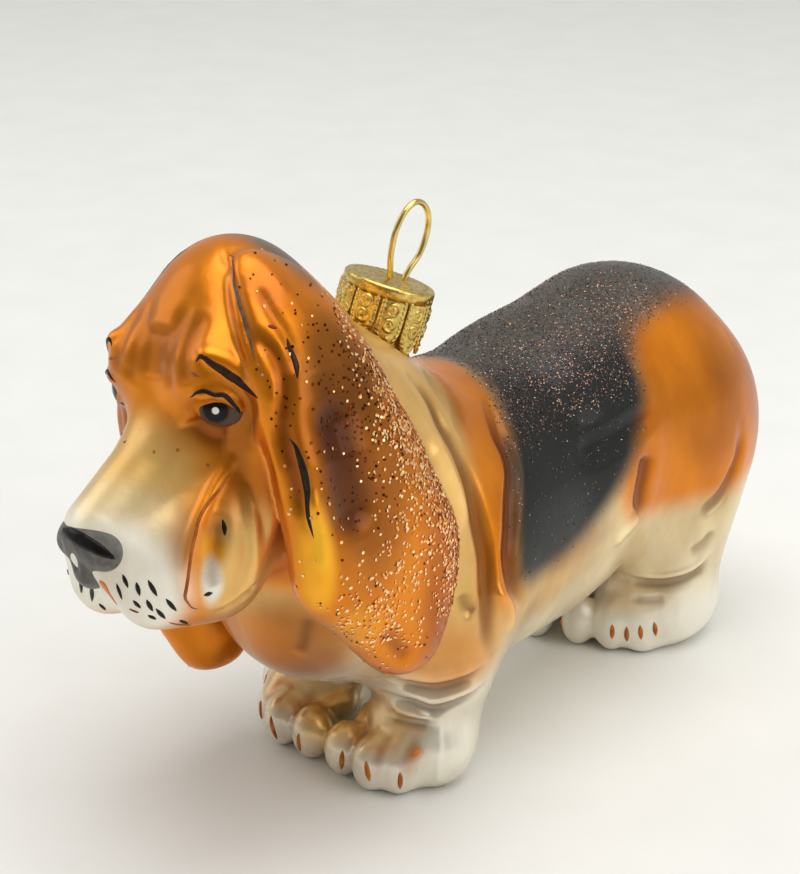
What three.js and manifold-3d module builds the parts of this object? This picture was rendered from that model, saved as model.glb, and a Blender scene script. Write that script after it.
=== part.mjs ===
// A mould-blown glass tree ornament: a standing basset hound, silvered inside and lacquered in orange,
// white and black, with a stamped brass cap and a wire loop at the nape. Millimetres, +Z up, the floor
// at z = 0. The dog looks along -Y, and its left side is +X.
import * as THREE from 'three';
import { mergeVertices } from 'three/addons/utils/BufferGeometryUtils.js';
import Module from 'manifold-3d';

const wasm = await Module();
wasm.setup();

// Clearances
const GAP = 0.3; // between two pieces that touch
const EAR_GAP = 0.4; // between an ear and the head and neck that it lies on
const SEAM = 0.8; // softens the crease where mirrored forms meet, mm squared

// Torso: round sections along the spine, a deep brisket and a rounded rump
const WITHERS = { y: 8.8, z: 34.5, radius: 17.1 };
const LOIN = { y: 23.7, z: 35.6, radius: 17.7 };
const CROUP = { y: 41, z: 38.9, radius: 18 };
const RUMP = { at: [0, 45.3, 32.6], radii: [17.1, 18.9, 17.1] };
const BELLY = { at: [0, 11, 24.8], radii: [16.6, 32, 16.4] };
const BRISKET = { at: [0, -3, 31], radii: [19, 19.5, 19.5] };
const HAUNCH = { at: [9.8, 44.5, 29.6], radii: [8.9, 15.7, 17.7] };

// Legs, given for the left side and mirrored; the right hind foot stands a little further forward
const FORELEG = { top: [12, -8.6, 26], foot: [9.7, -9.4, 9], topRadius: 9.8, footRadius: 6.9 };
const FOREPAW = { at: [9.8, -11.8, 5], radii: [8.3, 6.4, 6.5] };
const FORE_TOES = { places: [[3.3, -19], [8.5, -19.2], [11.7, -17.4]], z: 3.8, radii: [2.6, 3, 3.9] };
const HINDLEG = { top: [10.3, 44.1, 22], foot: [9.8, 42.8, 10], topRadius: 8.5, footRadius: 8.4 };
const HINDPAW = { at: [8.6, 43.3, 5.2], radii: [8.6, 10.6, 7.1] };
const HIND_TOES = { places: [[3.1, 31.5], [7.9, 33.5], [11.4, 36.3]], z: 3.9, radii: [2.6, 3, 3.9] };
const RIGHT_STEP = 2.6;

// Neck, from the nape to the shoulders, with the dewlap under it
const NAPE = { at: [0, -29.2, 57], radius: 14 };
const NECK = { at: [0, -20, 44.4], radius: 17.3 };
const SHOULDERS = { at: [0, -8, 33], radius: 18.5 };
const DEWLAP = { at: [0, -21.2, 29.4], radii: [14.5, 13, 13.6] };

// Head: the skull and brows are tipped, left side up, about a line through the skull
const HEAD_TIP = { y: -30, z: 58, degrees: 7 };
const SKULL = { at: [0.2, -32.9, 61.8], radii: [11.7, 12.1, 15.7] };
const BROW = { at: [5.8, -41.4, 63.7], radii: [4.6, 4.6, 4.5] };
const CHEEK = { at: [8, -35.4, 52], radii: [6, 7.5, 12] };
const BRIDGE = { back: [0, -42.9, 53], front: [-0.9, -52.8, 45.8], backRadius: 6.6, frontRadius: 5.9 };
const WHISKER_PAD = { at: [4.6, -50, 41.1], radii: [4.8, 6.3, 7], turn: -12 };
const FLEW = { at: [7.3, -43.7, 42.5], radii: [5.4, 7.2, 9] };
const CHIN = { at: [0, -46, 38.2], radii: [5.4, 7, 4] };
const EYE = { at: [8.5, -43.4, 61.4], radii: [1.5, 2.9, 2.2], turn: -49 };
const MUZZLE_LEAN = 0.12; // how much lower the right side of the lips hangs, mm for each mm across
const NOSE_PAD = { at: [-0.6, -55.4, 46.2], radii: [4.9, 3.5, 3.5], pitch: 25 };
const NOSE_WINGS = { x: 2.8, y: -55.2, z: 45.6, radii: [2.5, 3.2, 2.2] };
const NOSE_FOOT = { at: [-0.7, -56, 43], radii: [2.3, 2.5, 2.8] };

// Ears: a leaf outline seen from the side, [y, z] down the front edge and up the back edge, and how far
// out its middle lies at each height, [z, x]
const EAR_HALF_THICKNESS = 4.2;
const EAR_ROUNDING = 7;
const EAR_POINTS = 44; // round the edge
const EAR_RINGS = [0.97, 0.9, 0.78, 0.6, 0.36]; // from the edge to the middle line, which is at 0
const LEFT_EAR = {
  outline: [
    [-36.5, 77.5], [-41.5, 70], [-42.6, 60], [-42.2, 48], [-41.3, 39.5], [-35.5, 32.5], [-27.6, 24.4],
    [-21, 24], [-17, 30], [-15.2, 40], [-18.3, 49], [-22.9, 60.5], [-26, 68.7], [-29.6, 75.1],
  ],
  spread: [[20, 18.5], [34, 18.6], [44, 18.2], [56, 16], [66, 12.5], [74, 7], [79, 3.5]],
};
const RIGHT_EAR = {
  outline: [
    [-32, 73.5], [-35, 66], [-35.8, 56], [-37, 44], [-38.3, 30], [-33.8, 19.7], [-29.5, 13],
    [-22.2, 12.8], [-18.2, 19.9], [-16.6, 31], [-19, 43], [-23, 56], [-26, 66], [-28, 71.5],
  ],
  spread: [[10, 14.5], [20, 16], [34, 17.6], [44, 17.8], [56, 15.5], [66, 12.5], [74, 7.5], [79, 3.5]],
};

// Tail, hanging down the rump and a little to the right
const TAIL = { root: [-0.5, 59, 46.2], bend: [-1.3, 62.9, 40], tip: [-3.2, 63.8, 29], radii: [2.8, 2.7, 2] };

// The open glass neck, and the cap and loop that stand on it, along one leaning axis
const MOUNT_TOP = new THREE.Vector3(0.3, -6.9, 66.6);
const MOUNT_AXIS = new THREE.Vector3(0.12, 0.29, 0.95).normalize();
const SPOUT = { radius: 5, bore: 3.6, boreDepth: 6, length: 13, flare: 3 };
const CAP = { radius: 6, height: 8.4, wall: 0.5, corner: 0.8, petals: 10, pointHeight: 1.6, slit: 0.35, slitTop: 1.6 };
const SEAT = { radius: 6.8, depth: 0.35 }; // room for the petals round the spout
const WIRE_RADIUS = 0.4;
const WIRE_HOLE = 0.75;
const LOOP = [
  [-7.9, 63.6], [-7.2, 66.6], [-7.4, 69.8], [-6.9, 72.9], [-5.5, 75.2], [-3.7, 76.1], [-2, 75.4],
  [-0.9, 73.6], [-0.9, 71.2], [-1.9, 68.7], [-4, 66.4], [-5.3, 63],
]; // [y, z] round the wire, from one end to the other

// Planes that part the nodes: the first two face the back of the dog, and those of a leg face away from it
const HEAD_CUT = { through: [0, -22, 72], normal: [0, 0.925, -0.38] };
const TORSO_CUT = { through: [0, -1, 55], normal: [0, 1, -0.05] };
const FORELEG_CUTS = [{ through: [0, 0, 16.2], normal: [0, 0, 1] }, { through: [0, -2, 10], normal: [0, 1, -0.1] }];
const HINDLEG_CUTS = [{ through: [0, 0, 19], normal: [0, 0, 1] }, { through: [0, 27.5, 10], normal: [0, -1, 0.6] }];
const FAR = 200; // beyond every side of the dog

// Middle of the overall box on the floor, [x, y], which becomes the origin
const MIDDLE = [0.42, 3.44];

// Side of a sampling cell for each node
const CELL = {
  torso: 3.8, neck: 3.35, head: 2.2, bed: 2.4, foreleg: 2.25, hindleg: 2.7, tail: 1.6, tailBed: 2, nose: 1.35,
};

const radians = THREE.MathUtils.degToRad;

// Soft forms. Each is a function of a point that is negative inside, zero on the surface and positive
// outside, and close to a distance there.
function lump({ at, radii, pitch = 0, turn = 0 }) {
  const place = new THREE.Matrix4().makeRotationZ(radians(turn)).multiply(new THREE.Matrix4().makeRotationX(radians(pitch)));
  const e = place.elements;
  return (x, y, z) => {
    const dx = x - at[0];
    const dy = y - at[1];
    const dz = z - at[2];
    const u = (dx * e[0] + dy * e[1] + dz * e[2]) / radii[0];
    const v = (dx * e[4] + dy * e[5] + dz * e[6]) / radii[1];
    const w = (dx * e[8] + dy * e[9] + dz * e[10]) / radii[2];
    const inner = Math.hypot(u, v, w);
    const slope = Math.hypot(u / radii[0], v / radii[1], w / radii[2]);
    return (inner * (inner - 1)) / Math.max(slope, 1e-9);
  };
}

function limb(from, to, fromRadius, toRadius) {
  const axis = to.map((value, i) => value - from[i]);
  const square = axis.reduce((sum, value) => sum + value * value, 0);
  return (x, y, z) => {
    const dx = x - from[0];
    const dy = y - from[1];
    const dz = z - from[2];
    const along = THREE.MathUtils.clamp((dx * axis[0] + dy * axis[1] + dz * axis[2]) / square, 0, 1);
    const away = Math.hypot(dx - along * axis[0], dy - along * axis[1], dz - along * axis[2]);
    return away - fromRadius - (toRadius - fromRadius) * along;
  };
}

function softer(a, b, width) {
  const overlap = Math.max(width - Math.abs(a - b), 0) / width;
  return Math.min(a, b) - (overlap * overlap * width) / 4;
}

// Joins forms one after another: blend([form, width], ...) with a fillet of that width at each join
function blend(first, ...rest) {
  return (x, y, z) => rest.reduce((sum, [form, width]) => softer(sum, form(x, y, z), width), first(x, y, z));
}

function paired(form) {
  return (x, y, z) => form(Math.sqrt(x * x + SEAM), y, z);
}

function tipped(form) {
  const cos = Math.cos(radians(HEAD_TIP.degrees));
  const sin = Math.sin(radians(HEAD_TIP.degrees));
  return (x, y, z) => {
    const dz = z - HEAD_TIP.z;
    return form(cos * x + sin * dz, y, cos * dz - sin * x + HEAD_TIP.z);
  };
}

function leaning(form) {
  return (x, y, z) => form(x, y, z - MUZZLE_LEAN * x);
}

function torsoForm() {
  const section = ({ y, z }) => [0, y, z];
  return blend(
    limb(section(WITHERS), section(LOIN), WITHERS.radius, LOIN.radius),
    [limb(section(LOIN), section(CROUP), LOIN.radius, CROUP.radius), 3],
    [lump(RUMP), 6],
    [lump(BELLY), 8],
    [lump(BRISKET), 7],
    [paired(lump(HAUNCH)), 5],
  );
}

function legForm(leg, paw, toes) {
  const toeForms = toes.places.map(([x, y]) => [lump({ at: [x, y, toes.z], radii: toes.radii }), 2]);
  return blend(limb(leg.top, leg.foot, leg.topRadius, leg.footRadius), [lump(paw), 3.2], ...toeForms);
}

function hindLegsForm() {
  const left = legForm(HINDLEG, HINDPAW, HIND_TOES);
  const right = (x, y, z) => left(-x, y + RIGHT_STEP, z);
  return blend(left, [right, SEAM]);
}

function neckForm() {
  return blend(
    limb(NAPE.at, NECK.at, NAPE.radius, NECK.radius),
    [limb(NECK.at, SHOULDERS.at, NECK.radius, SHOULDERS.radius), 4],
    [lump(DEWLAP), 6],
  );
}

function headForm() {
  const muzzle = limb(BRIDGE.back, BRIDGE.front, BRIDGE.backRadius, BRIDGE.frontRadius);
  return blend(
    tipped(blend(lump(SKULL), [paired(lump(BROW)), 6])),
    [paired(lump(CHEEK)), 6],
    [muzzle, 5],
    [leaning(paired(lump(WHISKER_PAD))), 3],
    [leaning(paired(lump(FLEW))), 4],
    [lump(CHIN), 2.5],
  );
}

function spoutForm() {
  const low = MOUNT_TOP.clone().addScaledVector(MOUNT_AXIS, -SPOUT.length).toArray();
  const high = MOUNT_TOP.clone().addScaledVector(MOUNT_AXIS, SPOUT.radius).toArray();
  return limb(low, high, SPOUT.radius, SPOUT.radius);
}

function noseForm() {
  const wings = [-1, 1].map((side) => [
    lump({ at: [NOSE_PAD.at[0] + side * NOSE_WINGS.x, NOSE_WINGS.y, NOSE_WINGS.z], radii: NOSE_WINGS.radii }), 1.2,
  ]);
  return blend(lump(NOSE_PAD), ...wings, [lump(NOSE_FOOT), 1.2]);
}

const bodyForm = blend(
  torsoForm(),
  [hindLegsForm(), 4],
  [paired(legForm(FORELEG, FOREPAW, FORE_TOES)), 4],
  [neckForm(), 6],
  [headForm(), 4],
  [spoutForm(), SPOUT.flare],
);
const tailForm = blend(
  limb(TAIL.root, TAIL.bend, TAIL.radii[0], TAIL.radii[1]),
  [limb(TAIL.bend, TAIL.tip, TAIL.radii[1], TAIL.radii[2]), 1],
);

// An ear is a rounded leaf: rings inside its outline in the side view, on both faces, rising to the full
// thickness away from the edge
function earGeometry({ outline, spread }, side) {
  const leaf = new THREE.CatmullRomCurve3(outline.map(([y, z]) => new THREE.Vector3(0, y, z)), true, 'catmullrom');
  const edge = leaf.getSpacedPoints(EAR_POINTS).slice(1);
  const heights = edge.map((point) => point.z);
  const reach = EAR_ROUNDING * 1.3;
  const low = Math.min(...heights) + reach;
  const high = Math.max(...heights) - reach;
  const spine = (z) => {
    const height = THREE.MathUtils.clamp(z, low, high);
    const crossings = [];
    edge.forEach((a, i) => {
      const b = edge[(i + 1) % EAR_POINTS];
      if (a.z > height !== b.z > height) {
        crossings.push(THREE.MathUtils.mapLinear(height, a.z, b.z, a.y, b.y));
      }
    });
    return [(Math.min(...crossings) + Math.max(...crossings)) / 2, height];
  };
  const depthOf = (y, z) => Math.min(...edge.map((a, i) => {
    const b = edge[(i + 1) % EAR_POINTS];
    const dy = b.y - a.y;
    const dz = b.z - a.z;
    const along = THREE.MathUtils.clamp(((y - a.y) * dy + (z - a.z) * dz) / (dy * dy + dz * dz), 0, 1);
    return Math.hypot(y - a.y - along * dy, z - a.z - along * dz);
  }));
  const middle = (z) => {
    const next = spread.findIndex(([height]) => height > z);
    const [z0, x0] = spread[next - 1];
    const [z1, x1] = spread[next];
    return THREE.MathUtils.mapLinear(z, z0, z1, x0, x1);
  };
  const points = edge.map(({ y, z }) => [side * middle(z), y, z]);
  const faces = [];
  for (const face of [1, -1]) {
    let outer = edge.map((_, i) => i);
    for (const share of EAR_RINGS) {
      const inner = edge.map(({ y, z }) => {
        const [spineY, spineZ] = spine(z);
        const ringY = THREE.MathUtils.lerp(spineY, y, share);
        const ringZ = THREE.MathUtils.lerp(spineZ, z, share);
        const edgeward = Math.max(1 - depthOf(ringY, ringZ) / EAR_ROUNDING, 0);
        const thickness = EAR_HALF_THICKNESS * Math.sqrt(1 - edgeward * edgeward);
        return points.push([side * (middle(ringZ) + face * thickness), ringY, ringZ]) - 1;
      });
      outer.forEach((a, i) => {
        const next = (i + 1) % EAR_POINTS;
        addQuad(faces, [a, outer[next], inner[next], inner[i]], face * side);
      });
      outer = inner;
    }
    const flat = outer.map((i) => new THREE.Vector2(points[i][1], points[i][2]));
    for (const triangle of THREE.ShapeUtils.triangulateShape(flat, [])) {
      const corners = triangle.map((i) => outer[i]);
      faces.push(...(face * side > 0 ? corners : corners.reverse()));
    }
  }
  const geometry = new THREE.BufferGeometry();
  geometry.setAttribute('position', new THREE.Float32BufferAttribute(points.flat(), 3));
  geometry.setIndex(faces);
  return geometry;
}

function addQuad(faces, [a, b, c, d], turn) {
  faces.push(...(turn > 0 ? [a, b, c, a, c, d] : [a, c, b, a, d, c]));
}

// The surface of a form inside a box, from cells of one size: a point in every cell that the surface
// crosses, moved onto it, and a quad round every edge that it crosses
function skinOf(form, low, high, cell) {
  const count = low.map((value, i) => Math.ceil((high[i] - value) / cell) + 1);
  const [nx, ny, nz] = count;
  const index = (i, j, k) => (i * ny + j) * nz + k;
  const values = new Float64Array(nx * ny * nz);
  for (let i = 0; i < nx; i += 1) {
    for (let j = 0; j < ny; j += 1) {
      for (let k = 0; k < nz; k += 1) {
        const rim = i === 0 || j === 0 || k === 0 || i === nx - 1 || j === ny - 1 || k === nz - 1;
        const value = form(low[0] + i * cell, low[1] + j * cell, low[2] + k * cell);
        values[index(i, j, k)] = rim ? Math.max(value, cell / 4) : value;
      }
    }
  }
  const points = [];
  const pointOfCell = new Map();
  const corners = [0, 1, 2, 3, 4, 5, 6, 7].map((c) => [c & 1, (c >> 1) & 1, (c >> 2) & 1]);
  const cellPoint = (i, j, k) => {
    const key = index(i, j, k);
    if (!pointOfCell.has(key)) {
      const sum = [0, 0, 0];
      let crossings = 0;
      for (const a of corners) {
        for (let axis = 0; axis < 3; axis += 1) {
          if (a[axis] === 0) {
            const b = a.map((value, n) => (n === axis ? 1 : value));
            const va = values[index(i + a[0], j + a[1], k + a[2])];
            const vb = values[index(i + b[0], j + b[1], k + b[2])];
            if (va < 0 !== vb < 0) {
              const share = va / (va - vb);
              sum.forEach((_, n) => {
                sum[n] += a[n] + (b[n] - a[n]) * share;
              });
              crossings += 1;
            }
          }
        }
      }
      const place = [i, j, k].map((value, n) => low[n] + (value + sum[n] / crossings) * cell);
      pointOfCell.set(key, points.length / 3);
      points.push(...ontoSurface(form, place, cell));
    }
    return pointOfCell.get(key);
  };
  const faces = [];
  const steps = [[1, 0, 0], [0, 1, 0], [0, 0, 1]];
  for (let i = 0; i < nx - 1; i += 1) {
    for (let j = 0; j < ny - 1; j += 1) {
      for (let k = 0; k < nz - 1; k += 1) {
        const here = values[index(i, j, k)] < 0;
        for (let axis = 0; axis < 3; axis += 1) {
          const [di, dj, dk] = steps[axis];
          const there = values[index(i + di, j + dj, k + dk)] < 0;
          if (here !== there) {
            const u = steps[(axis + 1) % 3];
            const v = steps[(axis + 2) % 3];
            const ring = [[0, 0], [1, 0], [1, 1], [0, 1]].map(([p, q]) => cellPoint(
              i - p * u[0] - q * v[0],
              j - p * u[1] - q * v[1],
              k - p * u[2] - q * v[2],
            ));
            if (!here) {
              ring.reverse();
            }
            faces.push(ring[0], ring[1], ring[2], ring[0], ring[2], ring[3]);
          }
        }
      }
    }
  }
  const geometry = new THREE.BufferGeometry();
  geometry.setAttribute('position', new THREE.Float32BufferAttribute(points, 3));
  geometry.setIndex(faces);
  return geometry;
}

// Two steps along the slope of the form bring a point onto its surface, by half a cell at most
function ontoSurface(form, place, cell) {
  const reach = 0.01;
  let [x, y, z] = place;
  for (let step = 0; step < 2; step += 1) {
    const value = form(x, y, z);
    const slope = [
      (form(x + reach, y, z) - form(x - reach, y, z)) / (2 * reach),
      (form(x, y + reach, z) - form(x, y - reach, z)) / (2 * reach),
      (form(x, y, z + reach) - form(x, y, z - reach)) / (2 * reach),
    ];
    const square = slope.reduce((sum, part) => sum + part * part, 0);
    const move = THREE.MathUtils.clamp(-value / Math.max(square, 0.05), -cell / 4, cell / 4);
    x += slope[0] * move;
    y += slope[1] * move;
    z += slope[2] * move;
  }
  return [x, y, z];
}

// Joining and cutting
function withSharedPoints(geometry) {
  const bare = geometry.clone();
  bare.deleteAttribute('normal');
  bare.deleteAttribute('uv');
  return mergeVertices(bare, 1e-4);
}

function toSolid(geometry) {
  const closed = geometry.attributes.normal ? withSharedPoints(geometry) : geometry;
  return new wasm.Manifold(new wasm.Mesh({
    numProp: 3,
    vertProperties: new Float32Array(closed.attributes.position.array),
    triVerts: new Uint32Array(closed.index.array),
  }));
}

function toGeometry(solid) {
  const pieces = solid.decompose().sort((a, b) => b.volume() - a.volume());
  const mesh = pieces[0].getMesh();
  const geometry = new THREE.BufferGeometry();
  geometry.setAttribute('position', new THREE.Float32BufferAttribute(mesh.vertProperties, 3));
  geometry.setIndex(Array.from(mesh.triVerts));
  return geometry;
}

function boxSolid(low, high) {
  const size = high.map((value, i) => value - low[i]);
  const geometry = new THREE.BoxGeometry(...size);
  geometry.translate(...low.map((value, i) => value + size[i] / 2));
  return toSolid(geometry);
}

// Everything on the side of a plane that its normal points to, from half a gap away
function beyond({ through, normal }, side) {
  const direction = new THREE.Vector3(...normal).normalize().multiplyScalar(side);
  const geometry = new THREE.BoxGeometry(2 * FAR, 2 * FAR, FAR);
  geometry.translate(0, 0, FAR / 2 + GAP / 2);
  geometry.applyQuaternion(new THREE.Quaternion().setFromUnitVectors(new THREE.Vector3(0, 0, 1), direction));
  geometry.translate(...through);
  return toSolid(geometry);
}

// The part of space that a leg takes, on one side of the dog, and what it leaves to the body
function legSpace(cuts, side) {
  const half = beyond({ through: [0, 0, 0], normal: [side, 0, 0] }, 1);
  return cuts.reduce((space, cut) => space.intersect(beyond(cut, -1)), half);
}

function bodySpace(cuts) {
  return cuts.map((cut) => beyond(cut, 1)).reduce((space, more) => space.add(more));
}

function mounted(geometry) {
  geometry.applyQuaternion(new THREE.Quaternion().setFromUnitVectors(new THREE.Vector3(0, 0, 1), MOUNT_AXIS));
  geometry.translate(...MOUNT_TOP.toArray());
  return geometry;
}

// A rod or a cone along the mount's axis, between two heights measured from the cap's top
function mountedRod(bottomRadius, topRadius, from, to, sides = 24) {
  const geometry = new THREE.CylinderGeometry(topRadius, bottomRadius, to - from, sides);
  geometry.rotateX(Math.PI / 2);
  geometry.translate(0, 0, (from + to) / 2);
  return toSolid(mounted(geometry));
}

const aboveFloor = boxSolid([-FAR, -FAR, 0], [FAR, FAR, FAR]);
const bodyPart = (low, high, cell) => toSolid(skinOf(bodyForm, low, high, cell)).intersect(aboveFloor);

// Eyes: shallow glass domes, each in a socket of the head
function eyeGeometry(side, grown) {
  const geometry = new THREE.SphereGeometry(1, 14, 8);
  geometry.scale(...EYE.radii.map((radius) => radius + grown));
  geometry.rotateZ(radians(EYE.turn));
  geometry.translate(...EYE.at);
  if (side < 0) {
    geometry.scale(-1, 1, 1);
    const order = Array.from(geometry.index.array);
    for (let i = 0; i < order.length; i += 3) {
      [order[i + 1], order[i + 2]] = [order[i + 2], order[i + 1]];
    }
    geometry.setIndex(order);
  }
  geometry.translate(0, 0, -HEAD_TIP.z);
  geometry.rotateY(-radians(HEAD_TIP.degrees));
  geometry.translate(0, 0, HEAD_TIP.z);
  return geometry;
}

function noseSolid(grown) {
  const nose = noseForm();
  const form = (x, y, z) => nose(x, y, z) - grown;
  return toSolid(skinOf(form, [-9, -62, 39], [7, -50, 54], CELL.nose));
}

function headSolid() {
  return bodyPart([-22, -66, 28], [22, -10, 84], CELL.head)
    .intersect(beyond(HEAD_CUT, -1))
    .subtract(noseSolid(GAP))
    .subtract(toSolid(eyeGeometry(1, GAP)))
    .subtract(toSolid(eyeGeometry(-1, GAP)));
}

// What the glass leaves free: the air over the spout's rim, its bore, and the seat of the petals round it
function spoutTrim() {
  const top = -CAP.wall - GAP;
  const seat = -CAP.height - SEAT.depth;
  return mountedRod(SEAT.radius, SEAT.radius, seat, top + 12)
    .subtract(mountedRod(SPOUT.radius, SPOUT.radius, seat - 1, top))
    .add(mountedRod(SPOUT.bore, SPOUT.bore, top - SPOUT.boreDepth, top + 1));
}

function neckSolid() {
  return bodyPart([-28, -46, 8], [28, 10, 84], CELL.neck)
    .intersect(beyond(HEAD_CUT, 1))
    .intersect(beyond(TORSO_CUT, -1))
    .intersect(bodySpace(FORELEG_CUTS))
    .subtract(spoutTrim());
}

function torsoSolid() {
  return bodyPart([-28, -18, 2], [28, 74, 64], CELL.torso)
    .intersect(beyond(TORSO_CUT, 1))
    .intersect(bodySpace(FORELEG_CUTS))
    .intersect(bodySpace(HINDLEG_CUTS));
}

function forelegSolid(side) {
  return bodyPart([-26, -30, -3], [26, 4, 20], CELL.foreleg).intersect(legSpace(FORELEG_CUTS, side));
}

function hindlegSolid(side) {
  return bodyPart([-26, 20, -3], [26, 70, 23], CELL.hindleg).intersect(legSpace(HINDLEG_CUTS, side));
}

// The body grown by a gap, which keeps an ear or the tail clear of what it lies on
function bed(gap, low, high, cell) {
  const grown = (x, y, z) => bodyForm(x, y, z) - gap;
  return toSolid(skinOf(grown, low, high, cell));
}

function tailSolid() {
  return toSolid(skinOf(tailForm, [-9, 55, 24], [6, 70, 52], CELL.tail))
    .subtract(bed(GAP, [-16, 44, 18], [14, 72, 58], CELL.tailBed));
}

// The cap: a shell with a rounded shoulder, slit into pointed petals, with two holes for the wire
function capSolid() {
  const { radius, height, wall, corner, petals } = CAP;
  const outer = [[0, 0], [radius - corner, 0], [radius, -corner], [radius + 0.15, -height]];
  const inner = [[radius + 0.15 - wall, -height], [radius - wall, -corner - wall], [radius - corner - wall / 2, -wall], [0, -wall]];
  const profile = [...inner.reverse(), ...outer.reverse()].map(([r, z]) => new THREE.Vector2(r, z));
  const shell = new THREE.LatheGeometry(profile, petals * 2);
  shell.rotateX(Math.PI / 2);
  const slit = new THREE.Shape();
  const halfPitch = radius * Math.sin(Math.PI / petals);
  slit.moveTo(-CAP.slit / 2, -CAP.slitTop);
  slit.lineTo(-CAP.slit / 2, -height + CAP.pointHeight);
  slit.lineTo(-halfPitch, -height - 0.1);
  slit.lineTo(halfPitch, -height - 0.1);
  slit.lineTo(CAP.slit / 2, -height + CAP.pointHeight);
  slit.lineTo(CAP.slit / 2, -CAP.slitTop);
  slit.closePath();
  const slits = [];
  for (let i = 0; i < petals; i += 1) {
    const cutter = new THREE.ExtrudeGeometry(slit, { depth: 3, bevelEnabled: false });
    cutter.rotateX(Math.PI / 2);
    cutter.translate(0, radius + 1.5, 0);
    cutter.rotateZ((2 * Math.PI * i) / petals);
    slits.push(toSolid(mounted(cutter)));
  }
  const holes = [wirePoint(LOOP[0]), wirePoint(LOOP.at(-1))].map((foot) => wireHole(foot));
  return [...slits, ...holes].reduce((cap, cutter) => cap.subtract(cutter), toSolid(mounted(shell)));
}

// The wire keeps to the plane through the mount's axis that runs along the dog
function wirePoint([y, z]) {
  const lean = MOUNT_AXIS.x / MOUNT_AXIS.z;
  return new THREE.Vector3(MOUNT_TOP.x + (z - MOUNT_TOP.z) * lean, y, z);
}

function wireHole(foot) {
  const geometry = new THREE.CylinderGeometry(WIRE_HOLE, WIRE_HOLE, 6, 16);
  geometry.rotateX(Math.PI / 2);
  geometry.applyQuaternion(new THREE.Quaternion().setFromUnitVectors(new THREE.Vector3(0, 0, 1), MOUNT_AXIS));
  geometry.translate(...foot.clone().addScaledVector(MOUNT_AXIS, 3).toArray());
  return toSolid(geometry);
}

function loopGeometry() {
  const path = new THREE.CatmullRomCurve3(LOOP.map(wirePoint));
  const section = new THREE.Shape();
  section.absarc(0, 0, WIRE_RADIUS, 0, 2 * Math.PI);
  return new THREE.ExtrudeGeometry(section, { steps: 40, curveSegments: 4, extrudePath: path, bevelEnabled: false });
}

const FINISH = {
  head: { color: 0xc9701c, roughness: 0.35, metalness: 0.35 },
  coat: { color: 0xb98a4a, roughness: 0.35, metalness: 0.35 },
  saddle: { color: 0x2e2c2a, roughness: 0.45, metalness: 0.2 },
  ear: { color: 0xb4580f, roughness: 0.35, metalness: 0.3 },
  leg: { color: 0xe2dac6, roughness: 0.25, metalness: 0.45 },
  enamel: { color: 0x231f1e, roughness: 0.3, metalness: 0 },
  brass: { color: 0xc9a03a, roughness: 0.3, metalness: 1 },
};

const ornament = new THREE.Group();
ornament.position.set(-MIDDLE[0], -MIDDLE[1], 0);

function addPiece(name, geometry, finish) {
  const piece = new THREE.Mesh(geometry, new THREE.MeshStandardMaterial(FINISH[finish]));
  piece.name = name;
  ornament.add(piece);
}

const earBed = bed(EAR_GAP, [-30, -52, -4], [30, 0, 84], CELL.bed);
addPiece('head', toGeometry(headSolid()), 'head');
addPiece('nose', toGeometry(noseSolid(0)), 'enamel');
addPiece('eye_left', eyeGeometry(1, 0), 'enamel');
addPiece('eye_right', eyeGeometry(-1, 0), 'enamel');
addPiece('ear_left', toGeometry(toSolid(earGeometry(LEFT_EAR, 1)).subtract(earBed)), 'ear');
addPiece('ear_right', toGeometry(toSolid(earGeometry(RIGHT_EAR, -1)).subtract(earBed)), 'ear');
addPiece('neck', toGeometry(neckSolid()), 'coat');
addPiece('torso', toGeometry(torsoSolid()), 'saddle');
addPiece('tail', toGeometry(tailSolid()), 'saddle');
addPiece('leg_front_left', toGeometry(forelegSolid(1)), 'leg');
addPiece('leg_front_right', toGeometry(forelegSolid(-1)), 'leg');
addPiece('leg_hind_left', toGeometry(hindlegSolid(1)), 'leg');
addPiece('leg_hind_right', toGeometry(hindlegSolid(-1)), 'leg');
addPiece('cap', toGeometry(capSolid()), 'brass');
addPiece('hanger_loop', loopGeometry(), 'brass');

export default ornament;
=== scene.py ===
"""A mould-blown glass tree ornament: a standing basset hound, silvered inside and lacquered outside.

The sculpt is worked out in millimetres, in the sculptor's own frame: +Z is up, the floor is at z = 0,
the dog looks along -Y and its left side is +X. to_frame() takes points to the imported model's frame in
metres.
"""
import math
import random

import bpy
import numpy as np
from mathutils import Matrix, Vector


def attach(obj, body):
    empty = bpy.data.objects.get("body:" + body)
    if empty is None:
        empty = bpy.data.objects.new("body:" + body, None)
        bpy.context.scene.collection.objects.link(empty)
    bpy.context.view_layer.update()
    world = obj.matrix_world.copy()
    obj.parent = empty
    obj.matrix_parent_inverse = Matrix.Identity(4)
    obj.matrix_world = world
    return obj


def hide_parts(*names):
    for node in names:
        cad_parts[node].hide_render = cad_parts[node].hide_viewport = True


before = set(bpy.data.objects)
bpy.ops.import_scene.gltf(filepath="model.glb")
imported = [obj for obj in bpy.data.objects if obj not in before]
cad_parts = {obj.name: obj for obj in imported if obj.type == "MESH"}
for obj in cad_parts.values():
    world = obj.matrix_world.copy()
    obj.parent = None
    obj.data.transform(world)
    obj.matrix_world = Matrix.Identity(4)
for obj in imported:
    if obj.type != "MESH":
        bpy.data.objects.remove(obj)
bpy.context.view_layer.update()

# The middle of the overall box on the floor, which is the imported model's origin
MIDDLE = np.array([0.42, 3.44, 0.0])

MM = 0.001  # metres

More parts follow.
